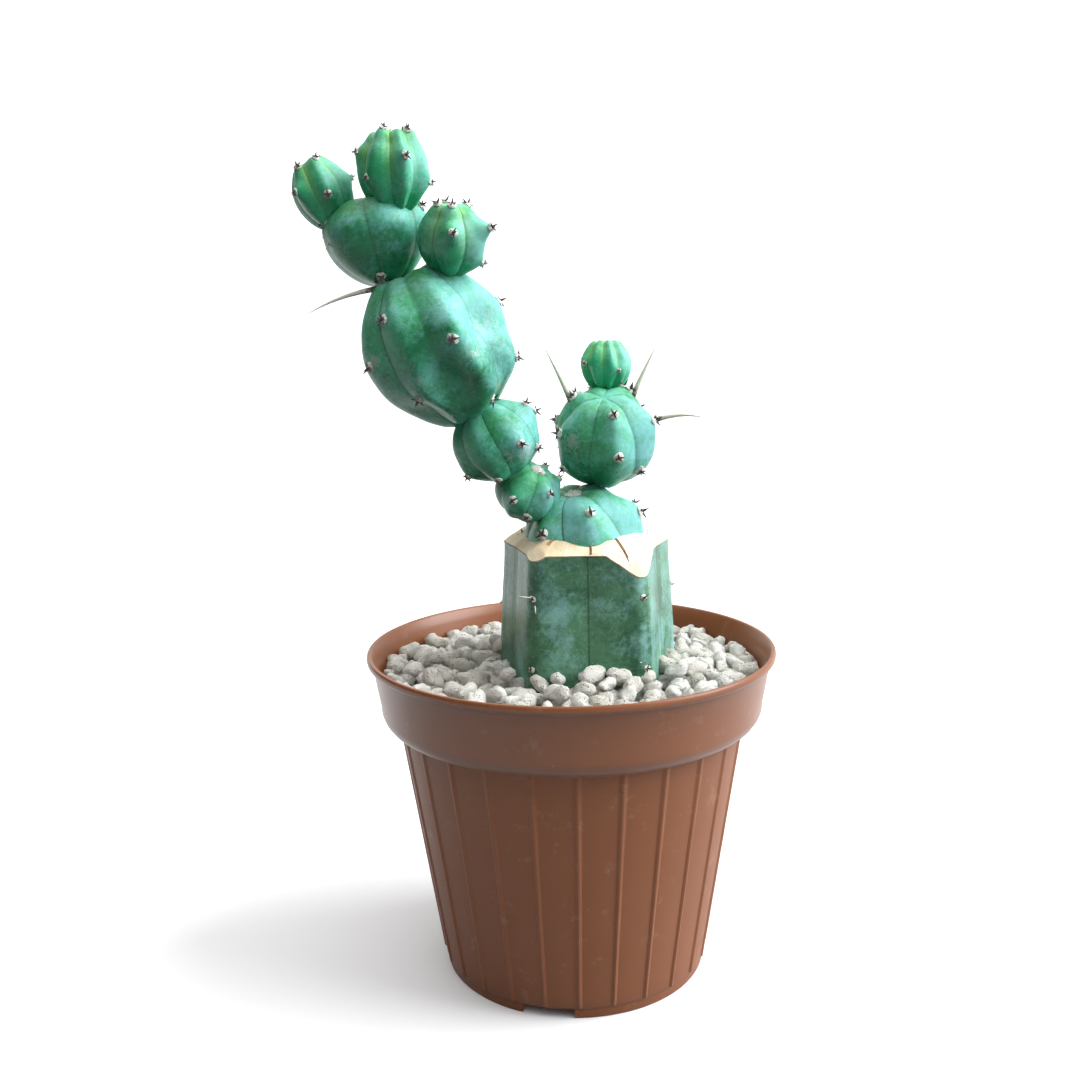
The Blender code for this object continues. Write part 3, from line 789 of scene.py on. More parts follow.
    def cut(self, shell: bpy.types.Object) -> None:
        """Opens the notches of the foot ring and the drainage holes."""
        cutters = []
        outer = self.body_foot_radius - self.foot_inset
        width = 2.0 * outer * math.sin(math.radians(self.notch_angle / 2))
        for index in range(self.notches):
            turn = self.notch_phase + index * 360.0 / self.notches
            bpy.ops.mesh.primitive_cube_add(size=1.0)
            block = bpy.context.object
            with Bench(block) as bench:
                bench.everything()
                bench.scale(width, 4 * self.foot_wall, 2 * (self.foot_height - 0.35 * MM))
                bench.pick(lambda e: abs(e.verts[0].co.y - e.verts[1].co.y) > MM
                           and e.verts[0].co.z > 0, "edges")
                bpy.ops.mesh.bevel(offset=0.8 * MM, segments=3)
            place = Matrix.Rotation(math.radians(turn), 4, "Z") @ Matrix.Translation(
                (0.0, -(outer - self.foot_wall / 2), 0.0))
            set_down(block, place)
            cutters.append(block)
        spots = [Vector((0.0, 0.0, 0.0))] + [
            spoke(self.notch_phase + index * 360.0 / self.drains) * self.drain_circle
            for index in range(self.drains)]
        for spot in spots:
            bpy.ops.mesh.primitive_cylinder_add(
                vertices=40, radius=self.drain_radius, depth=20 * MM,
                location=(spot.x, spot.y, self.foot_height))
            drill = bpy.context.object
            set_down(drill, drill.matrix_world.copy())
            cutters.append(drill)
        tool = join(cutters, "pot_cutters")
        finish_with(shell, "BOOLEAN", operation="DIFFERENCE", object=tool, solver="EXACT")
        discard([tool])

    def build(self) -> None:
        """Builds and dresses the pot."""
        shell = self.draw_shell()
        self.raise_ribs(shell)
        self.cut(shell)
        set_down(shell, Matrix.Translation(self.axis))
        shell.name = "nursery_pot"
        smooth(shell, 35.0)
        finish = MouldedPot("moulded_polypropylene", band_foot=self.step_foot + 1.5 * MM)
        hand_over(shell, finish.make(), Slot.POT, "pot")


# ------------------------------------------------------------------ areoles and spines
def needle(name: str, length: float, radius: float, steps: int, sides: int,
           bow: float = 0.0, sharp: float = 0.12) -> bpy.types.Object:
    """A tapering thorn drawn from its foot up: a ring is extruded, moved and scaled down.

    Args:
        name: The object's name.
        length: From foot to tip.
        radius: At the foot.
        steps: Rings along it.
        sides: Sides of its section.
        bow: How far its middle stands off its chord, along local +X.
        sharp: The tip's width as a share of the foot's.

    Returns:
        The thorn, with its foot at the origin and its tip up +Z.
    """
    bpy.ops.mesh.primitive_circle_add(vertices=sides, radius=radius, fill_type="NGON")
    thorn = bpy.context.object
    thorn.name = name
    with Bench(thorn) as bench:
        bench.pick(lambda edge: True, "edges")
        size, side, height = 1.0, 0.0, 0.0
        for step in range(1, steps + 1):
            share = step / steps
            next_side = 4.0 * bow * share * (1.0 - share)
            next_size = 1.0 - (1.0 - sharp) * share ** 1.15
            bench.draw_out((next_side - side, 0.0, length * share - height))
            bench.scale(next_size / size, next_size / size, 1.0,
                        (next_side, 0.0, length * share))
            size, side, height = next_size, next_side, length * share
        bench.close()
    mark(thorn, "rise", lambda place: place.z / length)
    return thorn


def mark(piece: bpy.types.Object, name: str, value: Callable) -> None:
    """Writes a number at every vertex of a piece, for its material to read.

    Args:
        piece: The mesh object.
        name: The attribute's name.
        value: Takes a vertex's place and gives the number.
    """
    layer = piece.data.attributes.new(name, "FLOAT", "POINT")
    layer.data.foreach_set("value", [value(vertex.co) for vertex in piece.data.vertices])


@dataclass
class AreoleKit:
    """One woolly pad and its dark spines, modelled once for all the areoles."""

    pad_width: float = 3.1 * MM
    pad_height: float = 1.5 * MM
    thorn_length: float = 2.2 * MM
    thorn_radius: float = 0.46 * MM

    def __post_init__(self) -> None:
        """Models the pad in three lumpy shapes, and the thorn."""
        self.pads = [self.model_pad(seed) for seed in (3, 8, 21)]
        self.thorn = needle("areole_thorn_model", self.thorn_length, self.thorn_radius, 3, 5)

    def model_pad(self, seed: int) -> bpy.types.Object:
        """A tuft of felt: a flattened ball with an uneven edge."""
        bpy.ops.mesh.primitive_uv_sphere_add(segments=14, ring_count=7, radius=1.0)
        pad = bpy.context.object
        pad.name = "areole_pad_model"
        with Bench(pad) as bench:
            bench.everything()
            bench.scale(self.pad_width / 2, self.pad_width / 2, self.pad_height / 2)
            bpy.ops.transform.vertex_random(offset=0.22 * MM, uniform=0.6, normal=0.5, seed=seed)
        return pad

    def clear_up(self) -> None:
        """Removes the models once every areole has its copies."""
        discard([*self.pads, self.thorn])


@dataclass
class Areoles:
    """The areoles of one stem, collected one by one and then joined into two pieces."""

    kit: AreoleKit
    owner: str
    rng: random.Random = field(default_factory=random.Random)

    def __post_init__(self) -> None:
        """Starts with no pads and no thorns."""
        self.pads: list[bpy.types.Object] = []
        self.thorns: list[bpy.types.Object] = []

    def plant(self, spot: Vector, normal: Vector, size: float = 1.0, thorns: int = 5) -> None:
        """Sets one areole on the skin.

        Args:
            spot: The point of the skin.
            normal: The skin's outward direction there.
            thorns: How many spines it carries.
        """
        seat = Matrix.Translation(spot) @ towards(tuple(normal))
        spin = self.rng.uniform(0.0, math.tau)
        size *= self.rng.uniform(0.88, 1.12)
        base = seat @ Matrix.Rotation(spin, 4, "Z") @ Matrix.Diagonal((size, size, size, 1.0))
        stretch = Matrix.Diagonal((1.0, self.rng.uniform(0.75, 1.0), 1.0, 1.0))
        self.pads.append(copy_of(self.rng.choice(self.kit.pads), base @ stretch))
        lift = Matrix.Translation((0.0, 0.0, 0.30 * self.kit.pad_height))
        for index in range(thorns):
            round_it = math.tau * (index + self.rng.uniform(-0.22, 0.22)) / max(thorns, 1)
            lean = math.radians(self.rng.uniform(62.0, 80.0))
            reach = self.rng.uniform(0.65, 1.15)
            if index == 0 and thorns > 3:
                lean, reach = math.radians(self.rng.uniform(5.0, 30.0)), 1.0
            self.thorns.append(copy_of(self.kit.thorn, base @ lift @ Matrix.Rotation(
                round_it, 4, "Z") @ Matrix.Rotation(lean, 4, "Y") @ Matrix.Diagonal(
                (1.0, 1.0, reach, 1.0))))

    def finish(self, wool: bpy.types.Material, horn: bpy.types.Material) -> None:
        """Joins and dresses what was planted."""
        for made, word, finish in ((self.pads, "wool", wool), (self.thorns, "thorns", horn)):
            if made:
                piece = join(made, f"{self.owner}_areole_{word}")
                smooth(piece, 50.0)
                hand_over(piece, finish, Slot.SPINE)


@dataclass
class LongSpine:
    """One long spine that stands for a node of the frame, from its foot to its tip."""

    node: str
    owner: str
    radius: float
    bow: float = 0.0  # upwards, as a share of its length
    seat: float = 0.8 * MM  # how much of it is under the skin

    def ends(self) -> tuple[Vector, Vector]:
        """The spine's foot and tip: the node's points nearest to and furthest from its stem.

        Returns:
            The foot and the tip.
        """
        heart = middle(self.owner)
        points = [vertex.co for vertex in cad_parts[self.node].data.vertices]
        tip = max(points, key=lambda point: (point - heart).length)
        foot = max(points, key=lambda point: (point - tip).length)
        near = [point for point in points if (point - foot).length < 3 * self.radius]
        return sum(near, Vector()) / len(near), tip.copy()

    def build(self, finish: bpy.types.Material) -> None:
        """Builds and dresses the spine."""
        foot, tip = self.ends()
        way = (tip - foot).normalized()
        foot -= way * self.seat
        length = (tip - foot).length
        thorn = needle(self.node, length, self.radius, 14, 12, bow=self.bow * length, sharp=0.08)
        thorn.name = f"{self.node}_horn"
        side = Vector((0.0, 0.0, 1.0)) - way * way.z
        side = side.normalized() if side.length > 0.2 else Vector((-1.0, 0.0, 0.0))
        across = way.cross(side)
        turn = Matrix((side, across, way)).transposed().to_4x4()
        set_down(thorn, Matrix.Translation(foot) @ turn)
        smooth(thorn, 60.0)
        hand_over(thorn, finish, Slot.SPINE, self.node)


def patchiness(place: Vector, spots: tuple, base: float, top: float) -> float:
    """How strongly a point of a unit ball is marked by round spots on it.

    Args:
        place: The point.
        spots: (turn, lift, radius) of each spot, in degrees.
        base: The least value.
        top: The value at a spot's middle.

    Returns:
        The value at the point.
    """
    most = base
    for turn, lift, radius in spots:
        spot = spoke(turn) * math.cos(math.radians(lift))
        spot.z = math.sin(math.radians(lift))
        away = math.degrees(place.normalized().angle(spot))
        most = max(most, base + (top - base) * (1.0 - (away / radius) ** 2))
    return most


# ------------------------------------------------------------------ stems
class Tip(Enum):
    """How a stem's growing end looks."""

    DIMPLE = "furrows that meet in a shallow dimple"
    CROWN = "rib tips that stand round the growing point"
    WOOL = "an old, woolly crown"


@dataclass
class StemSegment:
    """One globular stem segment: ribs between furrows, a growing tip and its areoles.

    A turn is an angle in degrees from the front to the right round the stem's axis, and a
    lift is degrees above its equator.
    """

    name: str
    axis: tuple[float, float, float]
    width: float
    length: float
    furrows: tuple[float, ...]
    depth: float = 2.4 * MM
    twist: float = 0.0  # degrees that the base is turned from the tip
    egg: float = 0.0  # above 0 the tip end is the wider one
    tip: Tip = Tip.DIMPLE
    swells: tuple[tuple[float, float, float, float], ...] = ()  # turn, lift, out, reach in mm
    scars: tuple[tuple[float, float, float], ...] = ()  # turn, lift, radius in degrees
    # Pale spots as (turn, lift, radius), in degrees; those on the right are a painted highlight
    # where the key light falls.
    bloomed_and_lit: tuple[tuple[float, float, float], ...] = ((65.0, 10.0, 60.0),)
    knob: float = 0.9 * MM  # how far each areole's seat stands out
    areoles: tuple[tuple[float, float], ...] = ()  # turn, lift
    lifts: tuple[float, ...] = (45.0, 5.0, -35.0)  # of the areoles on the unseen ribs
    areole_size: float = 1.0
    seed: int = 1

    def __post_init__(self) -> None:
        """Finds the stem's centre from the far end of its node along its axis."""
        way = Vector(self.axis).normalized()
        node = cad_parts[self.name]
        apex = max((vertex.co for vertex in node.data.vertices), key=way.dot)
        self.centre = apex - way * self.length / 2
        self.place = Matrix.Translation(self.centre) @ towards(self.axis)

    def crests(self) -> list[float]:
        """The turn of each rib's crest, midway between its two furrows."""
        ring = [*self.furrows, self.furrows[0] + 360.0]
        return [(first + second) / 2 for first, second in zip(ring, ring[1:])]

    def from_furrow(self, turn: float) -> float:
        """How near a turn is to a furrow: 1 in the furrow and 0 on a crest."""
        ring = [*self.furrows, self.furrows[0] + 360.0]
        turn = (turn - ring[0]) % 360.0 + ring[0]
        for first, second in zip(ring, ring[1:]):
            if first <= turn <= second:
                half = (second - first) / 2
                return 1.0 - min(turn - first, second - turn) / half
        return 0.0

    def direction(self, turn: float, lift: float) -> Vector:
        """From the stem's centre to a point of its skin, before the stem is tilted."""
        level = spoke(turn) * math.cos(math.radians(lift)) * self.width / 2
        return level + Vector((0.0, 0.0, math.sin(math.radians(lift)) * self.length / 2))

    def draw_body(self) -> bpy.types.Object:
        """Starts from a ball, writes what its skin reads, and presses in the furrows."""
        bpy.ops.mesh.primitive_uv_sphere_add(segments=120, ring_count=56, radius=1.0)
        body = bpy.context.object

        mark(body, "furrow", lambda p: self.from_furrow(turn_of(p)))
        mark(body, "rise", lambda p: p.z)
        mark(body, "scar", lambda p: patchiness(p, self.scars, 0.12, 1.1))
        # Pale coat: the listed spots, with a painted highlight where they lie on the right, and
        # paler towards the top.
        mark(body, "wax", lambda p: patchiness(p, self.bloomed_and_lit, 0.10, 1.1)
             + 0.42 * max(0.0, p.z))
        with Bench(body) as bench:
            bench.everything()
            bench.scale(self.width / 2, self.width / 2, self.length / 2)
            self.press_furrows(bench)
            self.shape_tip(bench)
            for turn, lift, out, reach in self.swells:
                self.swell(bench, turn, lift, out * MM, reach * MM)
            for turn, lift in self.areoles:
                self.swell(bench, turn + self.twist * math.sin(math.radians(lift)) / 2, lift,
                           self.knob, 0.22 * self.width)
        return body

    def lift_of(self, vertex: bmesh.types.BMVert) -> float:
        """Degrees above the equator at which a vertex of the body lies."""
        flat = vertex.co.xy.length / self.width
        return math.degrees(math.atan2(vertex.co.z / self.length, flat))

    def press_furrows(self, bench: Bench) -> None:
        """Presses the furrows in, in narrowing and shortening passes, and rounds the ribs."""
        narrow = ((0.12, 0.16), (0.30, 0.19), (0.48, 0.22), (0.66, 0.22), (0.82, 0.21))
        tall = ((80.0, 0.30), (66.0, 0.32), (50.0, 0.38))
        for near, share in narrow:
            for limit, part in tall:
                bench.pick(lambda v, n=near, m=limit: abs(self.lift_of(v)) < m
                           and self.from_furrow(turn_of(v.co)) > n)
                bpy.ops.transform.shrink_fatten(value=-self.depth * share * part)
        bench.everything()
        bpy.ops.mesh.vertices_smooth(factor=0.5, repeat=5)
        bench.pick(lambda v: abs(self.lift_of(v)) < 84.0
                   and self.from_furrow(turn_of(v.co)) > 0.93)
        bpy.ops.transform.shrink_fatten(value=-0.14 * self.depth)

    def swell(self, bench: Bench, turn: float, lift: float, out: float, reach: float) -> None:
        """Draws the skin out, or in, round one point."""
        spot = self.direction(turn, lift)
        mesh = bmesh.from_edit_mesh(bench.piece.data)
        nearest = min(mesh.verts, key=lambda v: v.co.normalized().angle(spot.normalized()))
        index = nearest.index
        bench.pick(lambda v: v.index == index)
        bench.shift(spot.normalized() * out, reach)

    def shape_tip(self, bench: Bench) -> None:
        """Gives the growing end its form."""
        dip = {Tip.DIMPLE: 0.055, Tip.CROWN: 0.11, Tip.WOOL: 0.07}[self.tip] * self.length
        if self.tip is Tip.CROWN:
            for crest in self.crests():
                self.swell(bench, crest, 60.0, 0.020 * self.length, 0.18 * self.width)
        bench.pick(lambda v: v.co.xy.length < 1e-6 and v.co.z > 0)
        bench.shift(Vector((0.0, 0.0, -dip)), 0.26 * self.width)

    def skin_at(self, body: bpy.types.Object, turn: float, lift: float) -> tuple[Vector, Vector]:
        """Where a line from the stem's centre leaves its skin.

        Args:
            body: The finished body.
            turn: From the front, in degrees.
            lift: Above the equator, in degrees.

        Returns:
            The point and the skin's outward direction there.
        """
        way = (self.place.to_3x3() @ self.direction(turn, lift)).normalized()
        found, spot, normal, _ = body.ray_cast(self.centre + way * 0.1, -way)
        return (spot, normal) if found else (self.centre + way * self.width / 2, way)

    def plant_areoles(self, body: bpy.types.Object, areoles: Areoles) -> None:
        """Sets the areoles in view where they are known, and regular ones behind."""
        for turn, lift in self.areoles:
            areoles.plant(*self.skin_at(body, turn, lift), size=self.areole_size,
                          thorns=areoles.rng.choice((4, 5, 5)))
        if self.tip is Tip.WOOL:
            areoles.plant(*self.skin_at(body, 0.0, 88.0), size=1.5, thorns=0)
        for number, crest in enumerate(self.crests()):
            for lift in self.lifts:
                lift += 10.0 * (number % 2)
                turn = crest - self.twist * math.sin(math.radians(lift)) / 2
                turn = (turn + 180.0) % 360.0 - 180.0
                if abs(turn) > 98.0:
                    areoles.plant(*self.skin_at(body, turn, lift), size=self.areole_size,
                                  thorns=areoles.rng.choice((4, 5)))

    def build(self, skin: bpy.types.Material, slot: Slot) -> bpy.types.Object:
        """Builds the body, and dresses it.

        Args:
            skin: Its finish.
            slot: The record's slot.

        Returns:
            The finished body.
        """
        body = self.draw_body()
        if self.egg:
            finish_with(body, "SIMPLE_DEFORM", deform_method="TAPER", deform_axis="Z",
                        factor=2 * self.egg)
        if self.twist:
            finish_with(body, "SIMPLE_DEFORM", deform_method="TWIST", deform_axis="Z",
                        angle=-math.radians(self.twist))
        finish_with(body, "SUBSURF", levels=1, render_levels=1)
        set_down(body, self.place)
        body.name = f"{self.name}_body"
        smooth(body, 70.0)
        return hand_over(body, skin, slot, self.name)


def stem_segments() -> list[StemSegment]:
    """The ten stem segments of the scion, from its foot up."""
    return [
        StemSegment("scion_base", (-0.16, -0.20, 1.0), 35.0 * MM, 36.5 * MM,
                    (-70.0, -12.0, 50.0, 110.0, 170.0, 230.0), depth=1.2 * MM, twist=24.0,
                    swells=((84.0, 30.0, 1.4, 12.0), (-60.0, 10.0, 0.8, 10.0)),
                    tip=Tip.WOOL, areoles=((19.0, 46.0), (92.0, 28.0), (81.0, 23.0),
                                           (88.0, -2.0), (-40.0, 30.0)),
                    scars=((10.0, 10.0, 25.0),),
                    # Its right-hand spot is a painted highlight.
                    bloomed_and_lit=((65.0, 10.0, 60.0), (12.0, 40.0, 40.0)), seed=1),
        StemSegment("right_offset", (-0.04, -0.42, 0.90), 30.0 * MM, 29.2 * MM,
                    (-86.0, -22.0, 38.0, 102.0, 160.0, 218.0), depth=1.5 * MM, twist=-12.0,
                    areoles=((15.0, 53.0), (12.0, 8.0), (-65.0, 22.0), (77.0, 25.0),
                             (44.0, -24.0), (-54.0, -16.0), (-128.0, 50.0), (128.0, 51.0)),
                    scars=((-45.0, 20.0, 22.0), (-30.0, -25.0, 14.0)), seed=2),
        StemSegment("right_offset_bud", (0.0, 0.10, 1.0), 15.2 * MM, 16.0 * MM,
                    (-94.0, -48.0, -8.0, 28.0, 68.0, 115.0, 165.0, 215.0), depth=1.1 * MM,
                    egg=0.06, tip=Tip.CROWN, areoles=((-54.0, 5.0), (29.0, -12.0)),
                    lifts=(10.0,), areole_size=0.55, seed=3),
        StemSegment("left_offset_lower", (0.42, -0.35, 0.84), 19.0 * MM, 17.2 * MM,
                    (-52.0, 8.0, 68.0, 128.0, 188.0, 248.0), depth=0.9 * MM, tip=Tip.WOOL,
                    areoles=((-21.0, 6.0), (39.0, 36.0), (13.0, -19.0), (110.0, 45.0)),
                    areole_size=0.80, seed=4),
        StemSegment("left_offset_middle", (-0.36, -0.10, 0.93), 25.2 * MM, 23.2 * MM,
                    (-90.0, -42.0, 6.0, 62.0, 124.0, 200.0), depth=0.8 * MM, twist=14.0,
                    areoles=((34.0, -9.0), (92.0, 15.0), (86.0, 30.0), (-63.0, -28.0),
                             (-18.0, -50.0), (71.0, -29.0)),
                    scars=((40.0, -25.0, 30.0), (10.0, -20.0, 18.0)),
                    # Both its spots lie on the right: painted highlight.
                    bloomed_and_lit=((70.0, 10.0, 60.0), (45.0, -15.0, 30.0)), areole_size=0.85,
                    seed=5),
        StemSegment("left_offset_large", (-0.38, -0.06, 0.92), 41.0 * MM, 45.6 * MM,
                    (-98.0, -36.0, 4.0, 47.0, 108.0, 166.0, 214.0), depth=1.5 * MM, twist=0.0,
                    egg=0.02, swells=((-48.0, -42.0, -2.2, 13.0), (62.0, -30.0, 1.6, 10.0),
                            (20.0, 6.0, 3.0, 9.0), (30.0, -22.0, 3.1, 7.5),
                                      (38.0, -38.0, 2.5, 6.5), (4.0, -26.0, -3.4, 8.5),
                                      (18.0, -52.0, 1.6, 8.0), (50.0, 8.0, -2.0, 8.0)),
                    areoles=((-73.0, 70.0), (-28.0, 32.0), (18.0, 1.5), (58.0, 62.0),
                             (91.0, 11.0), (78.0, -27.0), (45.0, -53.0), (-32.0, -30.0),
                             (-57.0, 6.0)),
                    scars=((54.0, 2.0, 20.0), (-50.0, 8.0, 18.0), (30.0, 25.0, 14.0),
                           (30.0, -10.0, 16.0), (-20.0, -15.0, 13.0)), seed=6),
        StemSegment("crown_segment", (-0.22, 0.0, 0.97), 28.8 * MM, 25.0 * MM,
                    (-66.0, 2.0, 62.0, 134.0, 210.0), depth=0.8 * MM, egg=0.17,
                    areoles=((80.0, 24.0), (-3.0, -57.0), (-73.0, 34.0)), lifts=(20.0,),
                    areole_size=0.9, seed=7),
        StemSegment("crown_bud_left", (-0.42, -0.05, 0.90), 16.4 * MM, 20.0 * MM,
                    (-62.0, -8.0, 50.0, 110.0, 172.0, 236.0), depth=0.9 * MM, egg=0.07,
                    tip=Tip.CROWN, areoles=((34.0, 52.0), (-22.0, 52.0), (-39.0, 16.0),
                                            (15.0, -8.0), (94.0, 5.0), (-23.0, -50.0)),
                    lifts=(50.0, 0.0), areole_size=0.72, seed=8),
        StemSegment("crown_bud_centre", (0.0, -0.10, 1.0), 19.6 * MM, 22.6 * MM,
                    (-56.0, 4.0, 49.0, 106.0, 164.0, 240.0), depth=1.6 * MM, egg=0.07,
                    tip=Tip.CROWN, areoles=((-16.0, 62.0), (62.0, 60.0), (27.0, 18.0),
                                            (-37.0, -7.0), (-79.0, 26.0), (80.0, -13.0)),
                    lifts=(58.0, 5.0), areole_size=0.72, seed=9),
        StemSegment("crown_bud_right", (0.10, -0.28, 0.95), 18.8 * MM, 19.6 * MM,
                    (-32.0, 32.0, 110.0, 180.0, 250.0), depth=1.2 * MM, egg=0.05,
                    tip=Tip.DIMPLE, swells=((6.0, 19.0, 1.5, 4.0), (74.0, 22.0, 1.2, 4.0)),
                    areoles=((6.0, 19.0), (1.0, 64.0), (-55.0, 62.0), (74.0, 22.0),
                             (84.0, -31.0)), lifts=(55.0, 0.0), areole_size=0.85, seed=10),
    ]


# ------------------------------------------------------------------ rootstock
@dataclass
class Rootstock:
    """The cut five-ribbed column: green flats, blunt ribs, and the dried slope of the cut."""

    corner_radius: float = 26.6 * MM
    rib_round: float = 3.4 * MM
    cut_rise: float = 4.2 * MM
    cut_run: float = 5.8 * MM
    furrow: float = 0.55 * MM
    bulge: float = 1.5 * MM
    bevels: tuple[float, ...] = (6.8 * MM, 1.6 * MM, 1.6 * MM, 1.6 * MM, 2.2 * MM)
    rim: float = 0.18 * MM  # of skin left round the callus
    callus_lift: float = 0.35 * MM
    back_reach: float = 26.2 * MM  # from the axis to the back rib's skin
    flat_share: float = 0.81  # from the axis to a flat, as a share of the corner's radius
    cut_share: float = 0.86  # the same for the cut's outline, a mean of ribs and flats
    rib_turn: float = 36.0  # of the first rib
    pitch: float = 72.0  # from rib to rib
    areole_step: float = 20.0  # down a rib, in mm

    def __post_init__(self) -> None:
        """Takes the column's place and height from the frame."""
        low, high = corners("rootstock")
        self.foot, self.top = low.z, high.z
        self.shoulder = self.top - self.cut_rise
        # From side to side the axis is in the middle of the box. From front to back it is
        # not, because the back rib reaches further than the front flat.
        self.axis = Vector(((low.x + high.x) / 2, high.y - self.back_reach, 0.0))

    def about(self, height: float) -> tuple[float, float, float]:
        """The axis at a height."""
        return (self.axis.x, self.axis.y, height)

    def draw_column(self) -> bpy.types.Object:
        """Draws the column: five flats, rounded ribs, furrows, and the slope of the cut."""
        bpy.ops.mesh.primitive_cylinder_add(
            vertices=5, radius=self.corner_radius, depth=self.shoulder - self.foot,
            location=self.about((self.shoulder + self.foot) / 2))
        column = bpy.context.object
        set_down(column, column.matrix_world.copy())
        with Bench(column) as bench:
            bench.pick(lambda e: abs(e.verts[0].co.z - e.verts[1].co.z) > 10 * MM, "edges")
            bpy.ops.mesh.bevel(offset=self.rib_round, segments=6, profile=0.5)
            bench.pick(lambda f: f.normal.z > 0.9, "faces")
            inner = 1.0 - self.cut_run / (self.corner_radius * self.cut_share)
            for share in (0.25, 0.5, 0.75, 1.0):
                size = (1.0 - (1.0 - inner) * share) / (1.0 - (1.0 - inner) * (share - 0.25))
                bpy.ops.mesh.extrude_region_move(
                    TRANSFORM_OT_translate={"value": (0.0, 0.0, self.cut_rise / 4)})
                bench.scale(size, size, 1.0, self.about(self.top))
            bench.pick(lambda e: abs(e.verts[0].co.z - e.verts[1].co.z) > 10 * MM, "edges")
            bpy.ops.mesh.subdivide(number_cuts=27)
            bench.pick(lambda e: abs(e.verts[0].co.z - e.verts[1].co.z) < 0.01 * MM
                       and e.calc_length() > 8 * MM, "edges")
            bpy.ops.mesh.subdivide(number_cuts=19)
            self.press_furrows(bench)
            self.swell(bench)
            self.bevel_ribs(bench)
        return column

    def off_flat(self, place: Vector) -> float:
        """How far a point is to the side of the nearest flat's middle line."""
        side = place - self.axis
        turn = turn_of(side)
        away = (turn + self.rib_turn) % self.pitch - self.rib_turn
        return abs(side.xy.length * math.sin(math.radians(away)))

    def press_furrows(self, bench: Bench) -> None:
        """Presses a shallow valley and a fine furrow into the middle of each flat."""
        for width, depth in ((9.0, 0.20), (6.0, 0.20), (3.0, 0.20), (1.4, 0.40)):
            bench.pick(lambda v, w=width: v.co.z < self.shoulder + 0.1 * MM
                       and self.off_flat(v.co) < w * MM)
            self.draw_in(bench, depth * self.furrow)

    def draw_in(self, bench: Bench, depth: float) -> None:
        """Scales what is selected towards the axis by a small depth."""
        size = 1.0 - depth / (self.corner_radius * self.flat_share)
        bench.scale(size, size, 1.0, self.about(0.0))

    def swell(self, bench: Bench) -> None:
        """Swells the column between its ends."""
        size = 1.0 + self.bulge / self.corner_radius
        for height in (self.foot + 25 * MM, self.foot + 45 * MM):
            bench.pick(lambda v, h=height: abs(v.co.z - h) < 1.5 * MM)
            bpy.ops.transform.resize(
                value=(size, size, 1.0), center_override=self.about(height),
                use_proportional_edit=True, proportional_edit_falloff="SMOOTH",
                proportional_size=26 * MM)

    def bloom_and_highlight_at(self, place: Vector) -> float:
        """How pale the coat lies at a point: most on the front flat, left of its middle; a painted
        highlight runs down the front-right rib and over the right side, where the key light falls.
        """
        side = place - self.axis
        turn = turn_of(side)
        down = (self.shoulder - place.z) / MM
        near = math.hypot((turn + 22.0) / 16.0, (down - 19.0) / 13.0)
        # Painted highlight: the front-right rib and the right side, which face the key light, are
        # paler.
        edge = 0.8 * max(0.0, 1.0 - abs(turn - 35.0) / 5.0)
        if 42.0 < turn < 104.0:
            edge += 0.55
        return max(0.14, 0.95 * (1.0 - near), edge)

    def bevel_ribs(self, bench: Bench) -> None:
        """Slices each rib off at a slant below the cut."""
        for index, drop in enumerate(self.bevels):
            way = spoke(self.rib_turn + index * self.pitch)
            spot = self.axis + way * (self.corner_radius - 0.4 * MM)
            spot.z = self.shoulder - drop
            slant = math.radians(48.0)
            bench.everything()
            bpy.ops.mesh.bisect(plane_co=spot, use_fill=True, clear_outer=True, plane_no=(
                way.x * math.sin(slant), way.y * math.sin(slant), math.cos(slant)))

    def lift_callus(self, column: bpy.types.Object) -> bpy.types.Object:
        """Takes a copy of the cut's faces, draws its edge in, and gives it thickness.

        Args:
            column: The finished column.

        Returns:
            The callus as its own object.
        """
        with Bench(column) as bench:
            bench.pick(lambda f: f.normal.z > 0.3 and f.calc_center_median().z
                       > self.shoulder - 8 * MM, "faces")
            bpy.ops.mesh.duplicate()
            bpy.ops.mesh.separate(type="SELECTED")
        callus = next(o for o in bpy.context.selected_objects if o is not column)
        with Bench(callus) as bench:
            bench.everything()
            bpy.ops.mesh.remove_doubles(threshold=0.05 * MM)
            bench.pick(lambda f: True, "faces")
            bpy.ops.mesh.inset(thickness=self.rim, use_boundary=True)
            bpy.ops.mesh.select_all(action="INVERT")
            bpy.ops.mesh.delete(type="FACE")
            bench.everything()
            bpy.ops.mesh.quads_convert_to_tris()
            bpy.ops.mesh.subdivide(number_cuts=1)
        finish_with(callus, "DISPLACE", texture=cloud("callus_lumps", 4.0 * MM),
                    texture_coords="GLOBAL", strength=0.26 * MM, mid_level=0.42)
        finish_with(callus, "SOLIDIFY", thickness=self.callus_lift + 0.6 * MM, offset=0.0)
        return callus

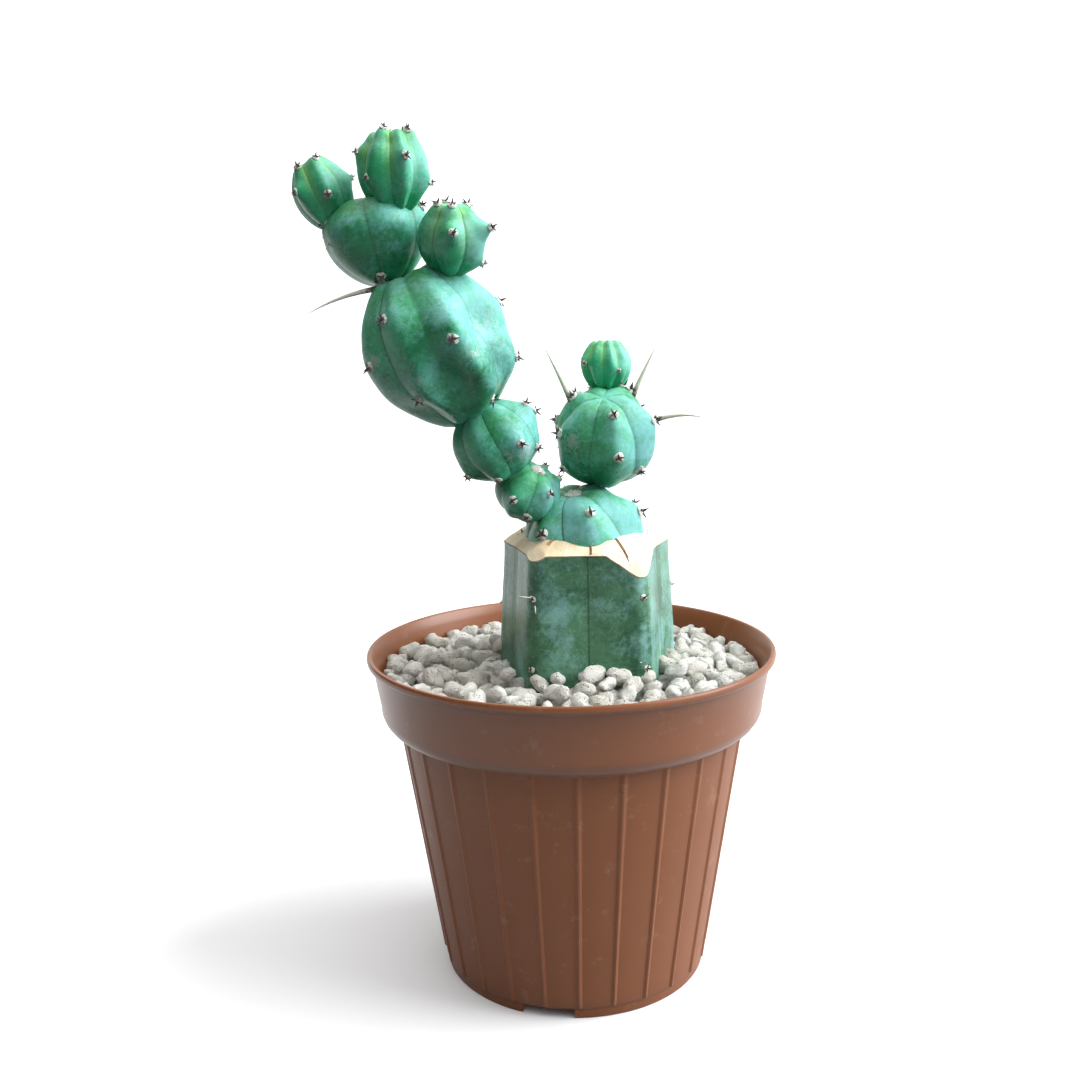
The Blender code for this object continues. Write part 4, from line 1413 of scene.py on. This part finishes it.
    def draw_cracks(self, callus: bpy.types.Object) -> bpy.types.Object:
        """Lays three shrinkage cracks over the slope of the cut, as thin raised threads.

        Args:
            callus: The callus they lie on.

        Returns:
            The threads as one object.
        """
        threads = []
        for path in (((-22.0, 16.6), (-27.0, 17.8), (-31.0, 19.2), (-32.0, 21.3)),
                     ((-20.5, 16.8), (-25.0, 18.0), (-29.5, 19.4), (-30.5, 21.3)),
                     ((2.0, 16.6), (1.6, 18.0), (2.2, 19.6), (1.8, 21.0)),
                     ((3.2, 16.8), (2.6, 18.2), (3.0, 19.8), (2.7, 21.0)),
                     ((22.0, 16.4), (27.5, 17.6), (30.0, 20.2), (30.5, 22.4)),
                     ((24.0, 16.4), (29.0, 17.4), (31.0, 19.6), (31.5, 21.6))):
            points = []
            for turn, out in path:
                spot = self.axis + spoke(turn) * out * MM
                spot.z = self.top + 10 * MM
                found, hit, _, _ = callus.ray_cast(spot, Vector((0.0, 0.0, -1.0)))
                if found:
                    points.append(hit)
            threads.append(thread("callus_crack", points, 0.20 * MM))
        return join(threads, "rootstock_callus_cracks")

    def plant_areoles(self, column: bpy.types.Object, areoles: Areoles) -> None:
        """Sets areoles 20 mm apart down each rib, each rib starting at its own height."""
        for index in range(5):
            way = spoke(self.rib_turn + index * self.pitch)
            first = {0: 31.5, 4: 11.5, 1: 14.5, 3: 19.0}.get(index, 16.0)
            for drop in (first - self.areole_step, first, first + self.areole_step):
                height = self.shoulder - drop * MM
                if not self.foot + 36 * MM < height < self.shoulder - 6 * MM:
                    continue
                found, spot, normal, _ = column.ray_cast(
                    self.axis + way * 0.1 + Vector((0.0, 0.0, height)), -way)
                if found:
                    areoles.plant(spot, normal, size=0.62, thorns=4)

    def build(self, areoles: Areoles) -> None:
        """Builds and dresses the column, its callus and its cracks."""
        column = self.draw_column()
        callus = self.lift_callus(column)
        column.name, callus.name = "rootstock_column", "rootstock_callus"
        cracks = self.draw_cracks(callus)
        mark(column, "furrow", lambda p: max(0.0, 1.0 - self.off_flat(p) / (6 * MM)))
        mark(column, "rise", lambda p: 0.0)
        mark(column, "scar", lambda p: 0.15)
        mark(column, "wax", self.bloom_and_highlight_at)
        for piece, angle in ((column, 30.0), (callus, 60.0), (cracks, 60.0)):
            smooth(piece, angle)
        self.plant_areoles(column, areoles)
        skin = CactusSkin("rootstock_waxy_skin", deep="2f5f45", flesh="528463",
                          bloom_and_highlight="a4dbdc", young="4f7f60", valley="2c5a42", bloom_and_highlight_share=0.40)
        hand_over(column, skin.make(), Slot.STOCK, "rootstock")
        centre = (self.axis.x, self.axis.y, 0.0)
        hand_over(callus, DriedCallus("dried_callus", centre=centre).make(), Slot.STOCK)
        hand_over(cracks, Horn("shrinkage_crack", light="7c4e26", dark="4c2c14",
                               roughness=0.8).make(), Slot.STOCK)


def thread(name: str, points: list[Vector], radius: float) -> bpy.types.Object:
    """A thin thread along points: a ring is extruded from each to the next.

    Args:
        name: The object's name.
        points: Where it runs.
        radius: Half its width.

    Returns:
        The thread.
    """
    bpy.ops.mesh.primitive_circle_add(vertices=6, radius=radius, fill_type="NGON")
    made = bpy.context.object
    made.name = name
    way = points[1] - points[0]
    set_down(made, Matrix.Translation(points[0]) @ towards(tuple(way)))
    with Bench(made) as bench:
        bench.pick(lambda edge: True, "edges")
        for start, end in zip(points, points[1:]):
            bench.draw_out(end - start)
        bench.close()
    mark(made, "rise", lambda place: 0.5)
    return made


# ------------------------------------------------------------------ pumice
@dataclass
class TopDressing:
    """The pumice: the loose stones of the frame, and the grains packed under them."""

    pot: NurseryPot
    stock: Rootstock
    shapes: int = 9
    loose: int = 18
    bed_top: float = 88.5 * MM
    seed: int = 5
    facets: int = 7  # sliced off each stone
    rounds: int = 90  # of easing the grains apart
    packing: float = 0.88  # of two grains' radii, how near they may come
    push: float = 0.45  # of an overlap, how much one round clears
    wall_gap: float = 1.22  # of its radius, how far a grain's middle keeps off the wall
    stem_gap: float = 0.9  # the same off the stem
    stem_room: float = 21.5 * MM

    def model_stone(self, number: int, levels: int) -> bpy.types.Object:
        """One stone: a block with its corners sliced off, rounded and made lumpy.

        Args:
            number: Which of the shapes.
            levels: How finely it is rounded.

        Returns:
            The stone, one unit wide, at the origin.
        """
        rng = random.Random(self.seed * 100 + number)
        bpy.ops.mesh.primitive_cube_add(size=1.0)
        stone = bpy.context.object
        stone.name = f"stone_model_{number}"
        with Bench(stone) as bench:
            bench.everything()
            bench.scale(1.0, rng.uniform(0.66, 0.92), rng.uniform(0.60, 0.82))
            for _ in range(self.facets):
                way = Vector([rng.uniform(-1, 1) for _ in range(3)]).normalized()
                bench.everything()
                bpy.ops.mesh.bisect(plane_co=way * rng.uniform(0.38, 0.50), plane_no=way,
                                    use_fill=True, clear_outer=True)
            bench.everything()
            bpy.ops.mesh.remove_doubles(threshold=0.06)
        finish_with(stone, "SUBSURF", levels=levels, render_levels=levels)
        finish_with(stone, "DISPLACE", texture=cloud(f"stone_lumps_{number}", 0.34, 2),
                    texture_coords="LOCAL", strength=0.27, mid_level=0.5)
        widest = max(max(abs(c) for c in vertex.co) for vertex in stone.data.vertices)
        with Bench(stone) as bench:
            bench.everything()
            bench.scale(0.5 / widest, 0.5 / widest, 0.5 / widest)
        return stone

    def scatter(self, count: int, sizes: tuple[float, float], rng: random.Random,
                keep_off: list[tuple[float, float, float]],
                outer: float) -> list[list[float]]:
        """Spreads grains over the ring between stem and wall and eases them apart.

        Args:
            count: How many grains.
            sizes: The smallest and largest radius.
            rng: The source of chance.
            keep_off: (x, y, radius) of grains that stay where they are.
            outer: The wall's radius at their height.

        Returns:
            [x, y, radius] of each grain, about the pot's axis.
        """
        hub = self.stock.axis - self.pot.axis
        grains = []
        for _ in range(count):
            turn, out = rng.uniform(0.0, math.tau), math.sqrt(rng.uniform(0.16, 1.0)) * outer
            grains.append([out * math.cos(turn), out * math.sin(turn),
                           rng.triangular(*sizes, sum(sizes) / 2.2)])
        for _ in range(self.rounds):
            for index, one in enumerate(grains):
                push_x = push_y = 0.0
                for other in (*grains[:index], *grains[index + 1:], *keep_off):
                    dx, dy = one[0] - other[0], one[1] - other[1]
                    gap = self.packing * (one[2] + other[2])
                    if abs(dx) < gap and abs(dy) < gap:
                        away = math.hypot(dx, dy) or 1e-6
                        if away < gap:
                            push_x += dx / away * (gap - away) * self.push
                            push_y += dy / away * (gap - away) * self.push
                one[0] += push_x
                one[1] += push_y
                out = math.hypot(one[0], one[1]) or 1e-6
                most = outer - self.wall_gap * one[2]
                if out > most:
                    one[0] *= most / out
                    one[1] *= most / out
                dx, dy = one[0] - hub.x, one[1] - hub.y
                off = math.hypot(dx, dy) or 1e-6
                least = self.stem_room + self.stem_gap * one[2]
                if off < least:
                    one[0] = hub.x + dx / off * least
                    one[1] = hub.y + dy / off * least
        return grains

    def lay(self, grains: list[list[float]], height: float, heap: float,
            models: list[bpy.types.Object], rng: random.Random) -> list[bpy.types.Object]:
        """Lays one layer of grains.

        Args:
            grains: [x, y, radius] of each, about the pot's axis.
            height: Of the grains' centres.
            heap: How much higher they lie against the stem.
            models: The stone shapes.
            rng: The source of chance.

        Returns:
            The grains.
        """
        made = []
        for x, y, radius in grains:
            out = math.hypot(x, y)
            rise = heap * max(0.0, 1.0 - (out - 20 * MM) / (24 * MM))
            size = 2.0 * radius
            place = (Matrix.Translation(self.pot.axis + Vector(
                (x, y, height + rise + rng.uniform(-1.1, 1.1) * MM)))
                @ Matrix.Rotation(rng.uniform(0, math.tau), 4, "Z")
                @ Matrix.Rotation(rng.uniform(-0.6, 0.6), 4, "X")
                @ Matrix.Rotation(rng.uniform(-0.6, 0.6), 4, "Y")
                @ Matrix.Diagonal((size * rng.uniform(1.05, 1.35), size, size, 1.0)))
            stone = copy_of(rng.choice(models), place)
            tone = rng.random()
            mark(stone, "tone", lambda place, t=tone: t)
            made.append(stone)
        return made

    def build(self) -> None:
        """Builds and dresses all the stones."""
        rng = random.Random(self.seed)
        models = [self.model_stone(number, 2) for number in range(self.shapes)]
        plain = [self.model_stone(number, 1) for number in range(self.shapes)]
        finish = Pumice("washed_pumice").make()
        fixed = []
        for number in range(1, self.loose + 1):
            node = f"pumice_stone_{number:02d}"
            low, high = corners(node)
            spot, size = (low + high) / 2, high - low
            wide = 0.52 * (size.x + size.y)
            stone = copy_of(models[number % len(models)], Matrix.Translation(spot)
                            @ Matrix.Rotation(rng.uniform(0, math.tau), 4, "Z")
                            @ Matrix.Diagonal((wide * 1.1, wide, 1.25 * size.z, 1.0)))
            stone.name = f"loose_pumice_{number:02d}"
            tone = rng.random()
            mark(stone, "tone", lambda place, t=tone: t)
            smooth(stone, 60.0)
            hand_over(stone, finish, Slot.PUMICE, node)
            fixed.append((spot.x - self.pot.axis.x, spot.y - self.pot.axis.y, wide / 2))
        top = self.scatter(200, (2.0 * MM, 4.5 * MM), rng, fixed, self.pot.rim - 3.0 * MM)
        under = self.scatter(215, (2.6 * MM, 4.4 * MM), rng, [], self.pot.rim - 4.8 * MM)
        layers = (("pumice_upper", top, self.bed_top + 0.9 * MM, 4.2 * MM, models),
                  ("pumice_lower", under, self.bed_top - 3.6 * MM, 3.8 * MM, plain))
        for name, grains, height, heap, shapes in layers:
            piece = join(self.lay(grains, height, heap, shapes, rng), name)
            smooth(piece, 60.0)
            hand_over(piece, finish, Slot.PUMICE,
                      *(("pumice_bed",) if name == "pumice_upper" else ()))
        discard([*models, *plain])


# ------------------------------------------------------------------ stage
@dataclass
class Studio:
    """The floor, the soft light and the camera."""

    pot: NurseryPot
    distance: float = 0.3234
    height: float = 0.1850
    swing: float = -1.48  # degrees to the left of straight back
    dip: float = 9.95
    lean: float = -1.17
    lens: float = 37.4
    left_surround: float = 0.14
    right_surround: float = 1.40
    ceiling: float = 1.70
    floor_radius: float = 6.0
    curtain_radius: float = 5.9
    sun_way: tuple[float, float, float] = (-0.80, 0.03, -0.60)
    sun_strength: float = 4.2
    sun_width: float = 46.0  # degrees: a window and not a point

    def lay_floor(self) -> None:
        """The white paper under and far behind the pot."""
        bpy.ops.mesh.primitive_circle_add(vertices=96, radius=self.floor_radius,
                                          fill_type="NGON",
                                          location=(0.0, 0.0, 0.0))
        floor = bpy.context.object
        with Bench(floor) as bench:
            bench.everything()
            bpy.ops.mesh.inset(thickness=self.floor_radius / 2)
        floor.name = "paper_floor"
        floor.data.materials.append(MattPaper("matt_paper").make())
        floor.visible_diffuse = False

    def hang_backdrop(self) -> None:
        """A white curtain all round, seen by the camera only, so that it lights nothing."""
        bpy.ops.mesh.primitive_cylinder_add(vertices=96, radius=self.curtain_radius, depth=12.0,
                                            end_fill_type="NOTHING")
        curtain = bpy.context.object
        curtain.name = "white_curtain"
        with Bench(curtain) as bench:
            bench.everything()
            bpy.ops.mesh.flip_normals()
        white = bpy.data.materials.new("white_curtain_cloth")
        white.use_nodes = True
        feed(white.node_tree, white.node_tree.nodes["Principled BSDF"],
             {"Emission Color": (1.0, 1.0, 1.0, 1.0), "Emission Strength": 1.0})
        curtain.data.materials.append(white)
        curtain.visible_diffuse = curtain.visible_glossy = False
        curtain.visible_transmission = curtain.visible_shadow = False

    def hang_lights(self) -> None:
        """A wide low key from the right, a bright ceiling, and a white far wall."""
        bpy.ops.object.light_add(type="SUN", location=(0.6, 0.0, 0.4))
        lamp = bpy.context.object
        lamp.name = "window_light"
        lamp.data.angle = math.radians(self.sun_width)
        lamp.data.energy = self.sun_strength
        lamp.data.color = (0.94, 0.98, 1.0)
        lamp.rotation_euler = Vector(self.sun_way).to_track_quat("-Z", "Y").to_euler()
        world = bpy.data.worlds.new("pale_surround")
        bpy.context.scene.world = world
        world.use_nodes = True
        sky = Wiring(world.node_tree, "Generated")
        right, back, up = add_node(sky.tree, "SeparateXYZ", {0: sky.place}).outputs
        side = sky.remap(right, 0.20, 0.95, self.left_surround, self.right_surround)
        ceiling = sky.remap(up, 0.50, 0.85, 0.0, self.ceiling)
        wall = sky.remap(back, 0.62, 0.80, 0.0, 1.1)
        most = sky.reckon("MAXIMUM", sky.reckon("MAXIMUM", side, ceiling), wall)
        below = sky.remap(up, -0.10, -0.06, 0.12, 1.0)
        feed(sky.tree, sky.tree.nodes["Background"], {
            "Strength": sky.reckon("MULTIPLY", most, below), "Color": (1.0, 1.0, 1.0, 1.0)})

    def set_camera(self) -> None:
        """Stands the camera in front of the pot, looking slightly down on it."""
        bpy.ops.object.camera_add()
        camera = bpy.context.object
        swing, dip = math.radians(self.swing), math.radians(self.dip)
        way = Vector((math.sin(swing) * math.cos(dip), math.cos(swing) * math.cos(dip),
                      -math.sin(dip)))
        right = Vector((math.cos(swing), -math.sin(swing), 0.0))
        above = right.cross(way)
        lean = math.radians(self.lean)
        across = math.cos(lean) * right + math.sin(lean) * above
        up = math.cos(lean) * above - math.sin(lean) * right
        turn = Matrix((across, up, -way)).transposed().to_4x4()
        spot = self.pot.axis + Vector((0.0, -self.distance, self.height))
        camera.matrix_world = Matrix.Translation(spot) @ turn
        camera.data.sensor_width = 36.0
        camera.data.lens = self.lens
        camera.data.clip_start = 0.01
        bpy.context.scene.camera = camera

    def build(self) -> None:
        """Sets up the whole stage."""
        self.lay_floor()
        self.hang_backdrop()
        self.hang_lights()
        self.set_camera()
        bpy.context.scene.view_settings.view_transform = "Standard"


# ------------------------------------------------------------------ the whole plant
def main() -> None:
    """Builds and dresses every piece in order, then sets the stage."""
    logging.basicConfig(level=logging.INFO, format="%(message)s")
    let_go()
    pot = NurseryPot()
    pot.build()
    horn = Horn("black_spine_horn", light="2a231c", dark="0e0b09", roughness=0.5).make()
    pale_horn = Horn("pale_spine_horn").make()
    wool = Wool("areole_felt").make()
    kit = AreoleKit()
    stock = Rootstock()
    stock_areoles = Areoles(kit, "rootstock", random.Random(40))
    stock.build(stock_areoles)
    stock_areoles.finish(wool, horn)
    skins = {
        Slot.STEM: CactusSkin("waxy_stem_skin").make(),
        Slot.BUD: CactusSkin("young_bud_skin", deep="1a9460", flesh="34b082", young="72c682",
                             valley="8fc95a", valley_share=0.55, bloom_and_highlight="9fe2dc",
                             bloom_and_highlight_share=0.40).make(),
    }
    for segment in stem_segments():
        slot = Slot.BUD if "bud" in segment.name else Slot.STEM
        body = segment.build(skins[slot], slot)
        areoles = Areoles(kit, segment.name, random.Random(segment.seed))
        segment.plant_areoles(body, areoles)
        areoles.finish(wool, horn)
    kit.clear_up()
    for node, owner, radius, bow in (
            ("long_spine_large_offset", "left_offset_large", 0.80, 0.05),
            ("short_spine_crown", "crown_segment", 0.45, 0.0),
            ("long_spine_right_offset_left", "right_offset", 0.95, 0.01),
            ("long_spine_right_offset_right", "right_offset", 0.85, 0.01),
            ("long_spine_right_offset_side", "right_offset", 0.85, 0.08),
            ("stock_spine_front_left_a", "rootstock", 0.30, 0.0),
            ("stock_spine_front_left_b", "rootstock", 0.28, 0.0),
            ("stock_spine_front_right_a", "rootstock", 0.28, 0.0),
            ("stock_spine_front_right_b", "rootstock", 0.28, 0.0),
            ("stock_spine_right_a", "rootstock", 0.26, 0.0),
            ("stock_spine_right_b", "rootstock", 0.26, 0.0)):
        LongSpine(node, owner, radius * MM, bow).build(pale_horn)
    TopDressing(pot, stock).build()
    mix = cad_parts["potting_mix"]
    mix.data.materials.clear()
    mix.data.materials.append(PottingMix("peat_and_bark").make())
    Studio(pot).build()
    let_go()


if __name__ == "__main__":
    main()
